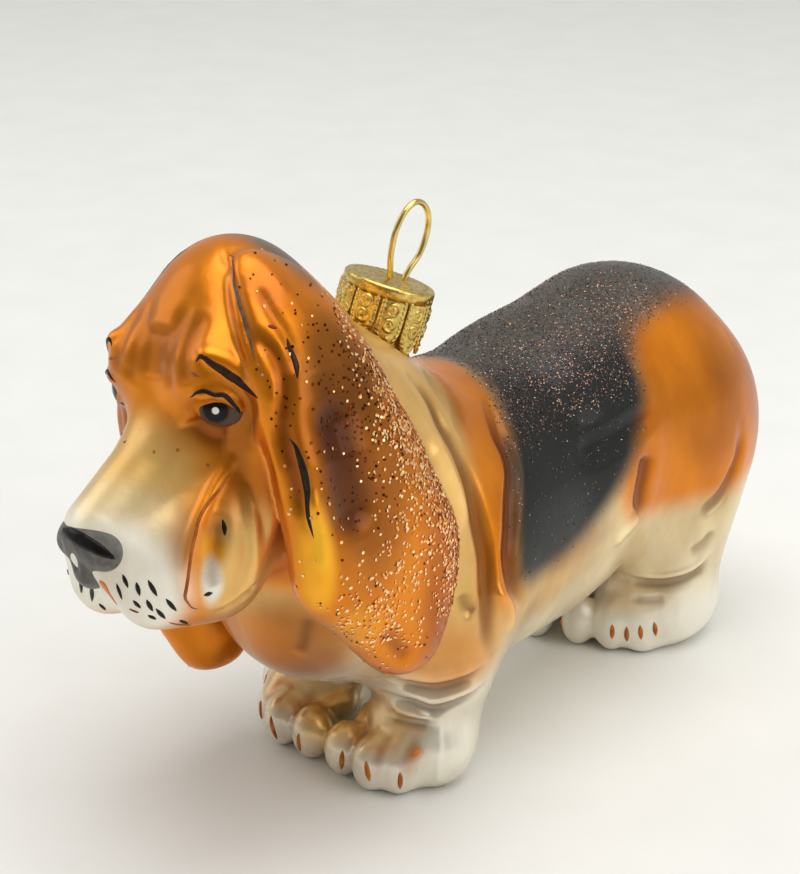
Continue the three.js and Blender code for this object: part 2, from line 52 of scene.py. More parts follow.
# Camera, round a point inside the dog: degrees and millimetres
VIEW = {"azimuth": 43.23, "elevation": 22.51, "distance": 270.29, "target": (-3.13, -1.62, 42.0)}
NEAR_CLIP = 0.01  # metres
SENSOR = 36.0
PICTURE_HEIGHT = 874.0  # pixels
FOCAL_LENGTH = 2000.0  # pixels
LENS = FOCAL_LENGTH * SENSOR / PICTURE_HEIGHT

# Sampled boxes of the glass skin and of the nose, and the side of a sampling cell
SKIN_BOX = ((-27, -61, -1), (27, 71, 82))
NOSE_BOX = ((-9, -62, 39), (7, -50, 54))
SKIN_CELL = 0.4
NOSE_CELL = 0.22

# Torso. A lump is a middle and three radii. The trunk's limbs share their ends, each a middle and a radius.
SEAM = 0.8  # softens the crease where mirrored forms meet, mm squared
WITHERS = ((0, 8.8, 34.5), 17.1)
LOIN = ((0, 23.7, 35.6), 17.7)
CROUP = ((0, 41, 38.9), 18)
RUMP = ((0, 45.3, 32.6), (17.1, 18.9, 17.1))
BELLY = ((0, 11, 24.8), (16.6, 32, 16.4))
BRISKET = ((0, -3, 31), (19, 19.5, 19.5))
HAUNCH = ((9.8, 44.5, 29.6), (8.9, 15.7, 17.7))

# Legs of the left side, mirrored. A limb is two ends and a radius at each.
FORELEG = ((12, -8.6, 26), (9.7, -9.4, 9), 9.8, 6.9)
FOREPAW = ((9.8, -11.8, 5), (8.3, 6.4, 6.5))
FORE_TOES = ((3.3, -19), (8.5, -19.2), (11.7, -17.4))
FORE_TOE_HEIGHT = 3.8
HINDLEG = ((10.3, 44.1, 22), (9.8, 42.8, 10), 8.5, 8.4)
HINDPAW = ((8.6, 43.3, 5.2), (8.6, 10.6, 7.1))
HIND_TOES = ((3.1, 31.5), (7.9, 33.5), (11.4, 36.3))
HIND_TOE_HEIGHT = 3.9
TOE_RADII = (2.6, 3, 3.9)
RIGHT_STEP = 2.6  # how much further forward the right hind foot stands

# Neck and head
NAPE = ((0, -29.2, 57), 14)
NECK = ((0, -20, 44.4), 17.3)
SHOULDERS = ((0, -8, 33), 18.5)
DEWLAP = ((0, -21.2, 29.4), (14.5, 13, 13.6))
HEAD_TIP = {"z": 58, "degrees": 7}
TIP_COS = math.cos(math.radians(HEAD_TIP["degrees"]))
TIP_SIN = math.sin(math.radians(HEAD_TIP["degrees"]))
UPPER_HEAD = {"z": 50, "z_blend": 8, "y": -27, "y_blend": 3}  # above and ahead of these
SKULL = ((0.2, -32.9, 61.8), (11.7, 12.1, 15.7))
BROW = ((5.8, -41.4, 63.7), (4.6, 4.6, 4.5))
CHEEK = ((8, -35.4, 52), (6, 7.5, 12))
BRIDGE = ((0, -42.9, 53), (-0.9, -52.8, 45.8), 6.6, 5.9)
WHISKER_PAD = ((4.6, -50, 41.1), (4.8, 6.3, 7))
WHISKER_PAD_TURN = -12
FLEW = ((7.3, -43.7, 42.5), (5.4, 7.2, 9))
MUZZLE_LEAN = 0.12  # how much lower the right side of the lips hangs, mm for each mm across
CHIN = ((0, -46, 38.2), (5.4, 7, 4))
EYE = {"at": (8.5, -43.4, 61.4), "radii": (1.5, 2.9, 2.2), "turn": -49}
NOSE_PAD = ((-0.6, -55.4, 46.2), (4.9, 3.5, 3.5))
NOSE_PITCH = 25
NOSE_WINGS = {"x": 2.8, "y": -55.2, "z": 45.6, "radii": (2.5, 3.2, 2.2)}
NOSE_DEPTH = 1.0  # how far the glass lies below the face of the nose pad
NOSE_FOOT = ((-0.7, -56, 43), (2.3, 2.5, 2.8))

# Ears: a leaf outline in the side view, (y, z), and how far out its middle lies at each height, (z, x)
EAR_HALF_THICKNESS = 4.2
EAR_ROUNDING = 7
EAR_MARGIN = 4  # an ear's form is worked out up to this far from its outline
EAR_SLOPE = 0.85  # keeps the ear's form no steeper than distance
LEFT_EAR = (
    (-36.5, 77.5), (-41.5, 70), (-42.6, 60), (-42.2, 48), (-41.3, 39.5), (-35.5, 32.5), (-27.6, 24.4),
    (-21, 24), (-17, 30), (-15.2, 40), (-18.3, 49), (-22.9, 60.5), (-26, 68.7), (-29.6, 75.1),
)
LEFT_SPREAD = ((20, 18.5), (34, 18.6), (44, 18.2), (56, 16), (66, 12.5), (74, 7), (79, 3.5))
RIGHT_EAR = (
    (-32, 73.5), (-35, 66), (-35.8, 56), (-37, 44), (-38.3, 30), (-33.8, 19.7), (-29.5, 13),
    (-22.2, 12.8), (-18.2, 19.9), (-16.6, 31), (-19, 43), (-23, 56), (-26, 66), (-28, 71.5),
)
RIGHT_SPREAD = (
    (10, 14.5), (20, 16), (34, 17.6), (44, 17.8), (56, 15.5), (66, 12.5), (74, 7.5), (79, 3.5),
)

# Tail, hanging down the rump and a little to the right
TAIL = {
    "root": (-0.5, 59, 46.2), "bend": (-1.3, 62.9, 40), "tip": (-3.2, 63.8, 29), "radii": (2.8, 2.7, 2),
}

# The open glass neck, and the cap and loop on it, along one leaning axis
MOUNT_TOP = np.array([0.3, -6.9, 66.6])
MOUNT_LEAN = np.array([0.12, 0.29, 0.95])
MOUNT_AXIS = MOUNT_LEAN / np.linalg.norm(MOUNT_LEAN)
SPOUT = {"radius": 5, "bore": 3.6, "bore_depth": 6, "length": 13, "flare": 3}
CAP = {"radius": 6, "height": 8.4, "wall": 0.5, "petals": 10}
SEAT_RADIUS = 6.8  # the glass is dished round the cap's petals
RIM_GAP = 0.3  # between the spout's rim and the cap's plate
MOUNT_REACH = 6  # the mount shapes the glass up to this far round the spout
WIRE_RADIUS = 0.392
LOOP = (
    (-7.9, 63.6), (-7.2, 66.6), (-7.4, 69.8), (-6.9, 72.9), (-5.5, 75.2), (-3.7, 76.1), (-2, 75.4),
    (-0.9, 73.6), (-0.9, 71.2), (-1.9, 68.7), (-4, 66.4), (-5.3, 63),
)


def raised(points, rise):
    """The same path, higher up."""
    return [(x, y, round(z + rise, 1)) for x, y, z in points]


HIND_WRINKLE = (
    (9.9, 33.3, 11.7), (13.5, 34.7, 11.9), (15.7, 36.4, 12.2), (18.2, 39.8, 13.3), (19.1, 42.2, 15.4),
)
FORE_WRINKLE = (
    (9.1, -17.8, 13.4), (13.3, -17.2, 13.5), (15.8, -15.5, 12.8), (17.8, -12.5, 13.9), (18.5, -9.1, 15.1),
)
LOW_FORE_WRINKLE = ((9.7, -18.5, 10.6), (13.4, -17.3, 10.6), (15.6, -15.5, 10.4))

# Relief of the mould on the left side, mirrored: how wide and how high each fold is, and where it runs.
# A groove has a height below zero.
FOLDS = {
    "forehead wrinkle": (1.6, -0.4, (
        (1.6, -41, 72), (1.8, -44.4, 68.8), (2.4, -46.4, 65.4), (3.4, -46.9, 62.8),
    )),
    "outer forehead wrinkle": (1.6, -0.4, (
        (3.8, -41.4, 71.6), (4.2, -44, 68.8), (4.9, -45.6, 66.2), (5.6, -46, 64),
    )),
    "middle wrinkle": (1.5, -0.35, ((-0.2, -43.5, 69.6), (0, -45.4, 66.6), (0.6, -46.8, 63.4))),
    "ear front crease": (0.6, -0.55, (
        (-0.4, -34.8, 76.9), (5, -38.3, 75.3), (9, -40.3, 72.1), (12.2, -41.8, 67.7),
    )),
    "temple crease": (0.9, -0.4, (
        (8.6, -37.7, 74.9), (10.9, -38.1, 72.7), (13.6, -37.9, 69.7), (16.1, -39.1, 65.8),
    )),
    "ear root": (1.1, -0.8, (
        (10.1, -40.8, 70.7), (13.8, -40, 68.3), (15.8, -40.6, 64.7), (16.3, -41.8, 59.5),
        (18.3, -41.5, 54.9), (19.6, -41, 49.3),
    )),
    "side of the face": (1.3, 0.8, (
        (14.6, -41.9, 63.7), (12, -41.6, 56.8), (12.3, -41.1, 51.4), (12.8, -40.7, 47),
        (12.8, -42.8, 42.7), (12.1, -44.1, 38.4),
    )),
    "front of the cheek": (0.8, 0.75, (
        (9.9, -43.7, 55.3), (9, -45.3, 53), (9.3, -47.5, 50.7), (9.8, -49.9, 48.1), (10.4, -51.5, 45),
        (10.5, -51.5, 41.7), (10.5, -50.1, 39.3),
    )),
    "back of the cheek": (0.8, 0.75, (
        (11.3, -42.8, 51.7), (12.2, -42.8, 48.3), (12.7, -43.1, 44.8), (12.7, -44.1, 41.2),
        (12.1, -45.9, 39.1), (11, -48.4, 38.3),
    )),
    "cheek window": (1.4, -0.6, (
        (10.6, -46.4, 50.4), (11.3, -47.6, 46.9), (11.6, -48.4, 43.6), (11.3, -48.3, 41),
    )),
    "mouth corner": (0.8, -0.7, ((11.4, -46.8, 37.9), (12.4, -44.4, 39.3), (12.4, -42.4, 39.9))),
    "upper lid": (0.7, 0.5, (
        (6.6, -46.4, 62.9), (7.8, -45.9, 63.4), (9.1, -44.9, 63.7), (10.4, -43.4, 62.6),
        (10.9, -42.8, 60.9),
    )),
    "lower lid": (0.6, 0.35, (
        (7, -46.3, 61.2), (7.8, -45.8, 60.4), (8.9, -44.8, 59.9), (10.1, -43.8, 60.2),
    )),
    "eye hollow": (2.2, -0.6, ((6.4, -47.2, 60.4), (8, -46.3, 58.4), (10.2, -44.2, 57.8))),
    "brow ridge": (1.3, 0.75, (
        (6.6, -45.3, 67.4), (7.4, -44.7, 68), (8.8, -43.6, 67.6), (10.2, -42.4, 66.4), (11.5, -41.6, 65),
        (12.8, -41.8, 63.9),
    )),
    "ear groove": (1.0, -0.7, (
        (16.2, -41.3, 62.1), (17.2, -41.7, 58.3), (18.1, -41.8, 54.5), (19.1, -41.4, 50),
    )),
    "ear strip": (1.2, 0.5, ((18.9, -40.2, 54), (20.4, -40, 48), (20.6, -40, 43))),
    "ear hollow": (3.2, -0.8, ((17.6, -35.6, 63.5), (20.4, -35.5, 55), (22, -34.5, 46))),
    "ear tip groove": (1.3, -0.5, ((22.2, -31.6, 33.3), (22.1, -28.8, 29.8), (21.9, -26.5, 27.1))),
    "front of the neck": (1.3, -1.3, (
        (12.1, -13.9, 58.7), (13.7, -12.7, 55.9), (15.8, -12.5, 52.4), (16.8, -11.2, 48.4),
        (17.7, -10.4, 44.6), (18.8, -10.3, 39.7), (19.7, -10.2, 35.1), (20.4, -10.9, 30.5),
        (20.5, -11.1, 25.3), (19.7, -9.5, 20.9),
    )),
    "back of the neck": (1.3, -1.4, (
        (11, 1.4, 51), (14.3, -0.6, 47.5), (16, -0.8, 45.4), (17.6, -1.7, 43.1), (19, -3.7, 40.2),
        (19.9, -5.2, 36.6), (20.4, -6.5, 33.3), (20.8, -6.4, 29.4), (20.4, -4.3, 26.5),
    )),
    "neck roll": (2.0, 0.7, (
        (16.7, -16.5, 52.9), (17.8, -15.5, 48.8), (18.2, -14, 44), (19, -13.4, 38),
    )),
    "pearl fold": (1.1, -0.6, ((19.2, -14.2, 31), (19.5, -13.9, 29.3), (20.1, -12.8, 28.1))),
    "crescent": (0.9, 0.6, (
        (20.5, -9.9, 30.6), (20.9, -8.3, 28.1), (20.8, -7.5, 25.8), (20.3, -7.9, 23.6),
    )),
    "chest fold": (1.2, -0.5, ((9.6, -31.5, 30.9), (8.5, -31.3, 26.9), (7.1, -31, 24.1))),
    "loin crease": (2.0, -0.8, (
        (17.9, 28.7, 42.7), (18.2, 23.7, 42.3), (18, 20.2, 41.7), (17.3, 16.3, 41.2), (16.5, 12, 41),
    )),
    "front of the thigh": (1.9, -1.0, (
        (19.1, 26, 37.4), (19.2, 25.4, 34.9), (18.9, 24.7, 31.1), (17.9, 25.7, 26.8),
    )),
    "flank fold": (1.6, 0.8, ((18.6, 25.5, 28.6), (18.2, 21.5, 27.4), (17.8, 18.6, 25.9))),
    "haunch curve": (1.4, -0.7, (
        (19.8, 46.8, 35.6), (19.6, 47.1, 31), (19.7, 45.5, 28.1), (19.9, 43.2, 25.8), (19.5, 40.6, 24.3),
        (18.6, 38.3, 23),
    )),
    "hind wrinkle": (1.1, -1.0, HIND_WRINKLE),
    "low hind wrinkle": (0.9, -0.6, ((10.8, 32.2, 9.4), (14.2, 34.1, 9.5), (15.7, 35.8, 10.1))),
    "high hind wrinkle": (1.1, -0.6, ((17.7, 38.4, 16.9), (19, 40.9, 18.3), (19.6, 42.4, 20.1))),
    "high fore wrinkle": (1.1, -1.2, (
        (11.4, -19.1, 17.7), (13.6, -17.6, 17), (16.1, -15.8, 16.6), (18.3, -13, 17.5), (19.1, -10.5, 18.5),
    )),
    "fore wrinkle": (1.0, -1.2, FORE_WRINKLE),
    "low fore wrinkle": (0.9, -1.0, LOW_FORE_WRINKLE),
    "high fore ridge": (0.85, 0.7, (
        (11.4, -19.1, 19), (13.6, -17.8, 18.3), (16.1, -16, 17.9), (18.3, -13, 18.8), (19.1, -10.5, 19.8),
    )),
    "fore ridge": (0.85, 0.7, raised(FORE_WRINKLE, 1.3)),
    "low fore ridge": (0.8, 0.4, raised(LOW_FORE_WRINKLE, 1.1)),
    "hind ridge": (0.7, 0.45, raised(HIND_WRINKLE, 1.4)),
    "fore seam": (0.5, 0.2, (
        (15.8, -14.4, 12.3), (16.2, -14.8, 8.5), (16.7, -15.3, 4), (16.4, -15, 1.5),
    )),
    "between the forelegs": (1.2, 0.7, ((2.7, -16.6, 8.6), (1.4, -15.4, 7.5), (0.4, -12.6, 7))),
}
FOLD_STRENGTH = 1.45  # multiplies every height
FOLD_WIDTH = 0.8  # multiplies every width
FOLD_ENDS = 0.22  # share of a fold's length over which it fades at each end
FOLD_END_HEIGHT = 0.15  # share of its height that is left there
FOLD_REACH = 3  # how far a fold is felt, in its widths


def to_frame(points):
    """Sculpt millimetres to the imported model's metres."""
    return (np.asarray(points, float) - MIDDLE) * MM


def eased(share):
    """A smooth step from 0 to 1."""
    share = np.clip(share, 0, 1)
    return share * share * (3 - 2 * share)


def turned(pitch, turn):
    """Rotation about x by pitch, then about z by turn, in degrees."""
    pitched = Matrix.Rotation(math.radians(pitch), 3, "X")
    return np.array(Matrix.Rotation(math.radians(turn), 3, "Z") @ pitched)


def in_box(p, low, high):
    """Which points lie between two corners."""
    return np.logical_and.reduce([(axis > a) & (axis < b) for axis, a, b in zip(p, low, high)])


# Forms. Each takes p = (x, y, z), three arrays, and is negative inside, zero on the surface and positive
# outside.
def lump(p, at, radii, pitch=0, turn=0):
    q = [axis - middle for axis, middle in zip(p, at)]
    if pitch or turn:
        rows = turned(pitch, turn).astype(p[0].dtype)
        q = [q[0] * rows[0, i] + q[1] * rows[1, i] + q[2] * rows[2, i] for i in range(3)]
    u, v, w = [axis / radius for axis, radius in zip(q, radii)]
    inner = np.sqrt(u * u + v * v + w * w)
    steepness = np.sqrt((u / radii[0]) ** 2 + (v / radii[1]) ** 2 + (w / radii[2]) ** 2)
    return inner * (inner - 1) / np.maximum(steepness, 1e-6)


def along_segment(p, start, end):
    """How far p is from a segment, and the share of it passed at the nearest point."""
    axis = [b - a for a, b in zip(start, end)]
    square = sum(part * part for part in axis)
    q = [part - a for part, a in zip(p, start)]
    share = np.clip((q[0] * axis[0] + q[1] * axis[1] + q[2] * axis[2]) / square, 0, 1)
    away = np.sqrt(sum((part - share * step) ** 2 for part, step in zip(q, axis)))
    return away, share


def limb(p, start, end, start_radius, end_radius):
    away, share = along_segment(p, start, end)
    return away - start_radius - (end_radius - start_radius) * share


def softer(a, b, width):
    """Two forms as one, blended over a width."""
    overlap = np.maximum(width - np.abs(a - b), 0) / width
    return np.minimum(a, b) - overlap * overlap * (width / 4)


def paired(p):
    """Folds the right side onto the left, softly at the middle."""
    return np.sqrt(p[0] * p[0] + SEAM), p[1], p[2]


def tipped(p):
    """Points as they lie in the upright head."""
    dz = p[2] - HEAD_TIP["z"]
    return TIP_COS * p[0] + TIP_SIN * dz, p[1], TIP_COS * dz - TIP_SIN * p[0] + HEAD_TIP["z"]


def mirrored(points):
    """Points of the left side taken to the right; on the upper head the mirror leans with the head."""
    points = np.asarray(points, float)
    x, y, z = tipped(tuple(points.T))
    dz = z - HEAD_TIP["z"]
    leaning = np.stack([-TIP_COS * x - TIP_SIN * dz, y, TIP_COS * dz - TIP_SIN * x + HEAD_TIP["z"]], 1)
    plain = points * (-1, 1, 1)
    above = np.clip((points[:, 2] - UPPER_HEAD["z"]) / UPPER_HEAD["z_blend"], 0, 1)
    ahead = np.clip((UPPER_HEAD["y"] - points[:, 1]) / UPPER_HEAD["y_blend"], 0, 1)
    return plain + (above * ahead)[:, None] * (leaning - plain)


def torso_form(p):
    form = limb(p, WITHERS[0], LOIN[0], WITHERS[1], LOIN[1])
    form = softer(form, limb(p, LOIN[0], CROUP[0], LOIN[1], CROUP[1]), width=3)
    form = softer(form, lump(p, *RUMP), width=6)
    form = softer(form, lump(p, *BELLY), width=8)
    form = softer(form, lump(p, *BRISKET), width=7)
    return softer(form, lump(paired(p), *HAUNCH), width=5)


def leg_form(p, leg, paw, toes, toe_height):
    form = softer(limb(p, *leg), lump(p, *paw), width=3.2)
    for x, y in toes:
        form = softer(form, lump(p, (x, y, toe_height), TOE_RADII), width=2)
    return form


def hind_legs_form(p):
    left = leg_form(p, HINDLEG, HINDPAW, HIND_TOES, HIND_TOE_HEIGHT)
    right = leg_form((-p[0], p[1] + RIGHT_STEP, p[2]), HINDLEG, HINDPAW, HIND_TOES, HIND_TOE_HEIGHT)
    return softer(left, right, width=0.8)


def neck_form(p):
    form = limb(p, NAPE[0], NECK[0], NAPE[1], NECK[1])
    form = softer(form, limb(p, NECK[0], SHOULDERS[0], NECK[1], SHOULDERS[1]), width=4)
    return softer(form, lump(p, *DEWLAP), width=6)


def head_form(p):
    tip = tipped(p)
    both = paired(p)
    form = softer(lump(tip, *SKULL), lump(paired(tip), *BROW), width=6)
    form = softer(form, lump(both, *CHEEK), width=6)
    form = softer(form, limb(p, *BRIDGE), width=5)
    lips = (both[0], p[1], p[2] - MUZZLE_LEAN * p[0])
    form = softer(form, lump(lips, *WHISKER_PAD, turn=WHISKER_PAD_TURN), width=3)
    form = softer(form, lump(lips, *FLEW), width=4)
    return softer(form, lump(p, *CHIN), width=2.5)


def nose_form(p):
    form = lump(p, *NOSE_PAD, pitch=NOSE_PITCH)
    for side in (-1, 1):
        at = (NOSE_PAD[0][0] + side * NOSE_WINGS["x"], NOSE_WINGS["y"], NOSE_WINGS["z"])
        form = softer(form, lump(p, at, NOSE_WINGS["radii"]), width=1.2)
    return softer(form, lump(p, *NOSE_FOOT), width=1.2)


def spout_form(p):
    low = MOUNT_TOP - MOUNT_AXIS * SPOUT["length"]
    high = MOUNT_TOP + MOUNT_AXIS * SPOUT["radius"]
    return limb(p, tuple(low), tuple(high), SPOUT["radius"], SPOUT["radius"])


def tail_form(p):
    thick, middle, thin = TAIL["radii"]
    form = limb(p, TAIL["root"], TAIL["bend"], thick, middle)
    return softer(form, limb(p, TAIL["bend"], TAIL["tip"], middle, thin), width=1)


def between(before, here, after, later, t):
    """The smooth curve through four points, at a share t of the way from the second to the third."""
    bend = 2 * before - 5 * here + 4 * after - later
    twist = 3 * here - before - 3 * after + later
    return 0.5 * (2 * here + (after - before) * t + bend * t * t + twist * t ** 3)


def closed_curve(points, steps=6):
    """A smooth closed curve through points."""
    p = np.array(points, float)
    before, after, later = np.roll(p, 1, 0), np.roll(p, -1, 0), np.roll(p, -2, 0)
    rows = [between(before, p, after, later, t) for t in np.arange(steps) / steps]
    return np.stack(rows, 1).reshape(-1, p.shape[1])


def open_curve(points, count):
    """A smooth open curve through points, with count points spaced by the knots."""
    p = np.array(points, float)
    if len(p) == 2:
        return p[0] + np.linspace(0, 1, count)[:, None] * (p[1] - p[0])
    p = np.vstack([2 * p[0] - p[1], p, 2 * p[-1] - p[-2]])
    t = np.linspace(0, len(p) - 3, count)
    i = np.minimum(t.astype(int), len(p) - 4)
    return between(p[i], p[i + 1], p[i + 2], p[i + 3], (t - i)[:, None])


def outline_distance(y, z, outline):
    """Distance to a closed outline in the side view, negative inside it."""
    square = np.full(y.shape, 1e9, y.dtype)
    inside = np.zeros(y.shape, bool)
    for (ay, az), (by, bz) in zip(outline.tolist(), np.roll(outline, 1, 0).tolist()):
        dy, dz = by - ay, bz - az
        wy, wz = y - ay, z - az
        t = np.clip((wy * dy + wz * dz) / (dy * dy + dz * dz), 0, 1)
        square = np.minimum(square, (wy - t * dy) ** 2 + (wz - t * dz) ** 2)
        if az != bz:
            inside ^= ((az > z) != (bz > z)) & (y < ay + dy * wz / dz)
    return np.where(inside, -1, 1) * np.sqrt(square)


EARS = {
    1: (closed_curve(LEFT_EAR), LEFT_SPREAD),
    -1: (closed_curve(RIGHT_EAR), RIGHT_SPREAD),
}


def ear_form(p, side):
    outline, spread = EARS[side]
    x, y, z = p[0] * side, p[1], p[2]
    near = in_box((y, z), outline.min(0) - EAR_MARGIN, outline.max(0) + EAR_MARGIN) & (x > -EAR_MARGIN)
    form = np.full(x.shape, 1.5 * EAR_MARGIN, x.dtype)
    if near.any():
        x, y, z = x[near], y[near], z[near]
        edge = outline_distance(y, z, outline)
        middle = np.interp(z, *zip(*spread))
        rise = np.clip(1 + edge / EAR_ROUNDING, 0, 1)
        thickness = EAR_HALF_THICKNESS * np.sqrt(1 - rise * rise)
        form[near] = -softer(thickness - np.abs(x - middle), -edge, width=1.5) * EAR_SLOPE
    return form


def body_form(p):
    form = torso_form(p)
    form = softer(form, hind_legs_form(p), width=4)
    form = softer(form, leg_form(paired(p), FORELEG, FOREPAW, FORE_TOES, FORE_TOE_HEIGHT), width=4)
    form = softer(form, neck_form(p), width=6)
    form = softer(form, head_form(p), width=4)
    form = softer(form, spout_form(p), width=SPOUT["flare"])
    return softer(form, tail_form(p), width=2.5)


def smooth_form(p):
    """The whole dog without its fine relief."""
    form = body_form(p)
    for side in (1, -1):
        form = softer(form, ear_form(p, side), width=1.2)
    return form


def slope(form, points, reach=0.02):
    """Value and gradient of a form at points, from the four corners of a small tetrahedron."""
    corners = np.array([[1, -1, -1], [-1, -1, 1], [-1, 1, -1], [1, 1, 1]], float)
    total = np.zeros_like(points)
    value = np.zeros(len(points))
    for corner in corners:
        here = form(tuple((points + corner * reach).T))
        total += here[:, None] * corner
        value += here / 4
    return value, total / (4 * reach)


def onto(form, points, steps=3, most=1.0):
    """Moves points onto the surface of a form, along its slope."""
    points = np.array(points, float)
    for _ in range(steps):
        value, gradient = slope(form, points)
        move = -value / np.maximum((gradient ** 2).sum(1), 0.05)
        length = np.abs(move) * np.linalg.norm(gradient, axis=1)
        move *= np.minimum(1, most / np.maximum(length, 1e-9))
        points += gradient * move[:, None]
    return points


def fold_paths():
    """Every fold on both sides, laid on the smooth dog."""
    paths = []
    for full_width, height, points in FOLDS.values():
        width = FOLD_WIDTH * full_width
        path = open_curve(points, 4 * len(points))
        for way in (path, mirrored(path)):
            laid = onto(smooth_form, way, 4)
            reach = FOLD_REACH * width
            paths.append((width, height, laid, laid.min(0) - reach, laid.max(0) + reach))
    return paths


PATHS = fold_paths()


def relief(p):
    """Height of the folds above the smooth dog."""
    total = np.zeros(p[0].shape, p[0].dtype)
    box_low = [axis.min() for axis in p]
    box_high = [axis.max() for axis in p]
    for width, height, path, low, high in PATHS:
        if any(box_low[a] > high[a] or box_high[a] < low[a] for a in range(3)):
            continue
        near = in_box(p, low, high)
        if not near.any():
            continue
        q = [axis[near] for axis in p]
        best = np.full(q[0].shape, 1e9, q[0].dtype)
        place = np.zeros_like(best)
        for i, (start, end) in enumerate(zip(path[:-1].tolist(), path[1:].tolist())):
            away, share = along_segment(q, start, end)
            closer = away < best
            best = np.where(closer, away, best)
            place = np.where(closer, i + share, place)
        place /= len(path) - 1
        fade = eased(np.minimum(place, 1 - place) / FOLD_ENDS)
        share = FOLD_END_HEIGHT + (1 - FOLD_END_HEIGHT) * fade
        total[near] += FOLD_STRENGTH * height * np.exp(-(best / width) ** 2) * share
    return total


def above_mount(p):
    """Height above the spout's rim along the mount's axis, and distance from that axis."""
    q = [axis - at for axis, at in zip(p, MOUNT_TOP)]
    height = q[0] * MOUNT_AXIS[0] + q[1] * MOUNT_AXIS[1] + q[2] * MOUNT_AXIS[2]
    away = np.sqrt(sum((part - height * step) ** 2 for part, step in zip(q, MOUNT_AXIS)))
    return height + CAP["wall"] + RIM_GAP, away


def glass_form(p):
    """The dog with its relief, open at the spout, hollowed under the nose pad and flat on the floor."""
    form = smooth_form(p) - relief(p)
    height, away = above_mount(p)
    close = away < SPOUT["radius"] + MOUNT_REACH
    seat = np.maximum(away - SEAT_RADIUS, -height - CAP["height"])
    bore = np.maximum(away - SPOUT["bore"], -height - SPOUT["bore_depth"])
    dished = -softer(-form, seat, width=1.2)
    dished = np.minimum(dished, np.maximum(away - SPOUT["radius"], -height - SPOUT["length"]))
    form = np.where(close, np.maximum(np.maximum(dished, height), -bore), form)
    form = np.maximum(form, -nose_form(p) - NOSE_DEPTH)
    return np.maximum(form, -p[2])


def surface_net(form, low, high, cell, block=5, margin=1.35, batch=800):
    """Points and quads of a form's surface in a box: a point in every cell that the surface crosses.

    Only blocks of cells whose middle lies within margin block sizes of the surface are looked into.
    """
    low = np.array(low, float)
    blocks = np.ceil((np.array(high) - low) / (cell * block)).astype(int)
    size = cell * block
    middles = [low[a] + (np.arange(blocks[a]) + 0.5) * size - cell / 2 for a in range(3)]
    grid = np.meshgrid(*middles, indexing="ij")
    coarse = form(tuple(axis.ravel() for axis in grid)).reshape(blocks)
    values = np.repeat(np.repeat(np.repeat(coarse.astype(np.float32), block, 0), block, 1), block, 2)
    near = np.argwhere(np.abs(coarse) < margin * size)
    near = near[np.lexsort((near[:, 0], near[:, 2], near[:, 1]))]
    step = np.arange(block)
    inner = np.stack(np.meshgrid(step, step, step, indexing="ij"), -1).reshape(-1, 3)
    for start in range(0, len(near), batch):
        places = (near[start:start + batch, None, :] * block + inner).reshape(-1, 3)
        points = (low + places * cell).astype(np.float32)
        found = form(tuple(np.ascontiguousarray(points[:, a]) for a in range(3)))
        values[places[:, 0], places[:, 1], places[:, 2]] = found
    inside = values < 0
    cells = tuple(n - 1 for n in inside.shape)
    corners = [(i, j, k) for i in (0, 1) for j in (0, 1) for k in (0, 1)]

    def corner(array, at):
        return array[at[0]:at[0] + cells[0], at[1]:at[1] + cells[1], at[2]:at[2] + cells[2]]

    filled = sum(corner(inside, at).astype(np.int8) for at in corners)
    crossed = np.argwhere(((filled > 0) & (filled < 8)).transpose(1, 2, 0))[:, (2, 0, 1)]
    total = np.zeros((len(crossed), 3))
    count = np.zeros(len(crossed))
    for a in corners:
        for axis in range(3):
            if a[axis]:
                continue
            b = tuple(1 if n == axis else value for n, value in enumerate(a))
            va = values[tuple((crossed + a).T)]
            vb = values[tuple((crossed + b).T)]
            change = (va < 0) != (vb < 0)
            share = np.where(change, va / np.where(change, va - vb, 1), 0)
            spot = np.array(a) + np.outer(share, np.array(b) - np.array(a))
            total += spot * change[:, None]
            count += change
    points = low + (crossed + total / count[:, None]) * cell
    number = np.full(cells, -1, np.int32)
    number[tuple(crossed.T)] = np.arange(len(crossed))
    quads = []
    steps = np.eye(3, dtype=int)
    here = inside[:-1, :-1, :-1]
    for axis in range(3):
        u, v = steps[(axis + 1) % 3], steps[(axis + 2) % 3]
        edges = np.argwhere(here != corner(inside, steps[axis]))
        edges = edges[(edges @ u > 0) & (edges @ v > 0)]
        ring = np.stack([number[tuple((edges - step).T)] for step in (0 * u, u, u + v, v)], 1)
        outward = here[tuple(edges.T)]
        quads.append(np.where(outward[:, None], ring, ring[:, ::-1]))
    return points, np.vstack(quads)


def relaxed(points, quads, form, rounds=2, pull=0.6):
    """Evens out the mesh along its surface, pulling each point towards the middle of its neighbours."""
    a = quads.ravel()
    b = np.roll(quads, 1, 1).ravel()
    size = len(points)
    count = np.bincount(a, minlength=size) + np.bincount(b, minlength=size)
    for _ in range(rounds):
        total = [np.bincount(a, axis[b], size) + np.bincount(b, axis[a], size) for axis in points.T]
        points = (1 - pull) * points + pull * np.stack(total, 1) / count[:, None]
        points = in_parts(lambda part: onto(form, part, 1, 0.3), points)
    return in_parts(lambda part: onto(form, part, 2, 0.3), points)


def meshed(name, form, box, cell):
    """A piece with the surface of a form in a box, and its points."""
    points, quads = surface_net(form, *box, cell)
    points = relaxed(points, quads, form)
    return new_mesh(name, points, quads), points


def in_parts(work, points, size=40000):
    return np.concatenate([work(points[start:start + size]) for start in range(0, len(points), size)])


def in_rows(form, points):
    """Values of a form at points."""
    return in_parts(lambda part: form(tuple(part.T)), points)


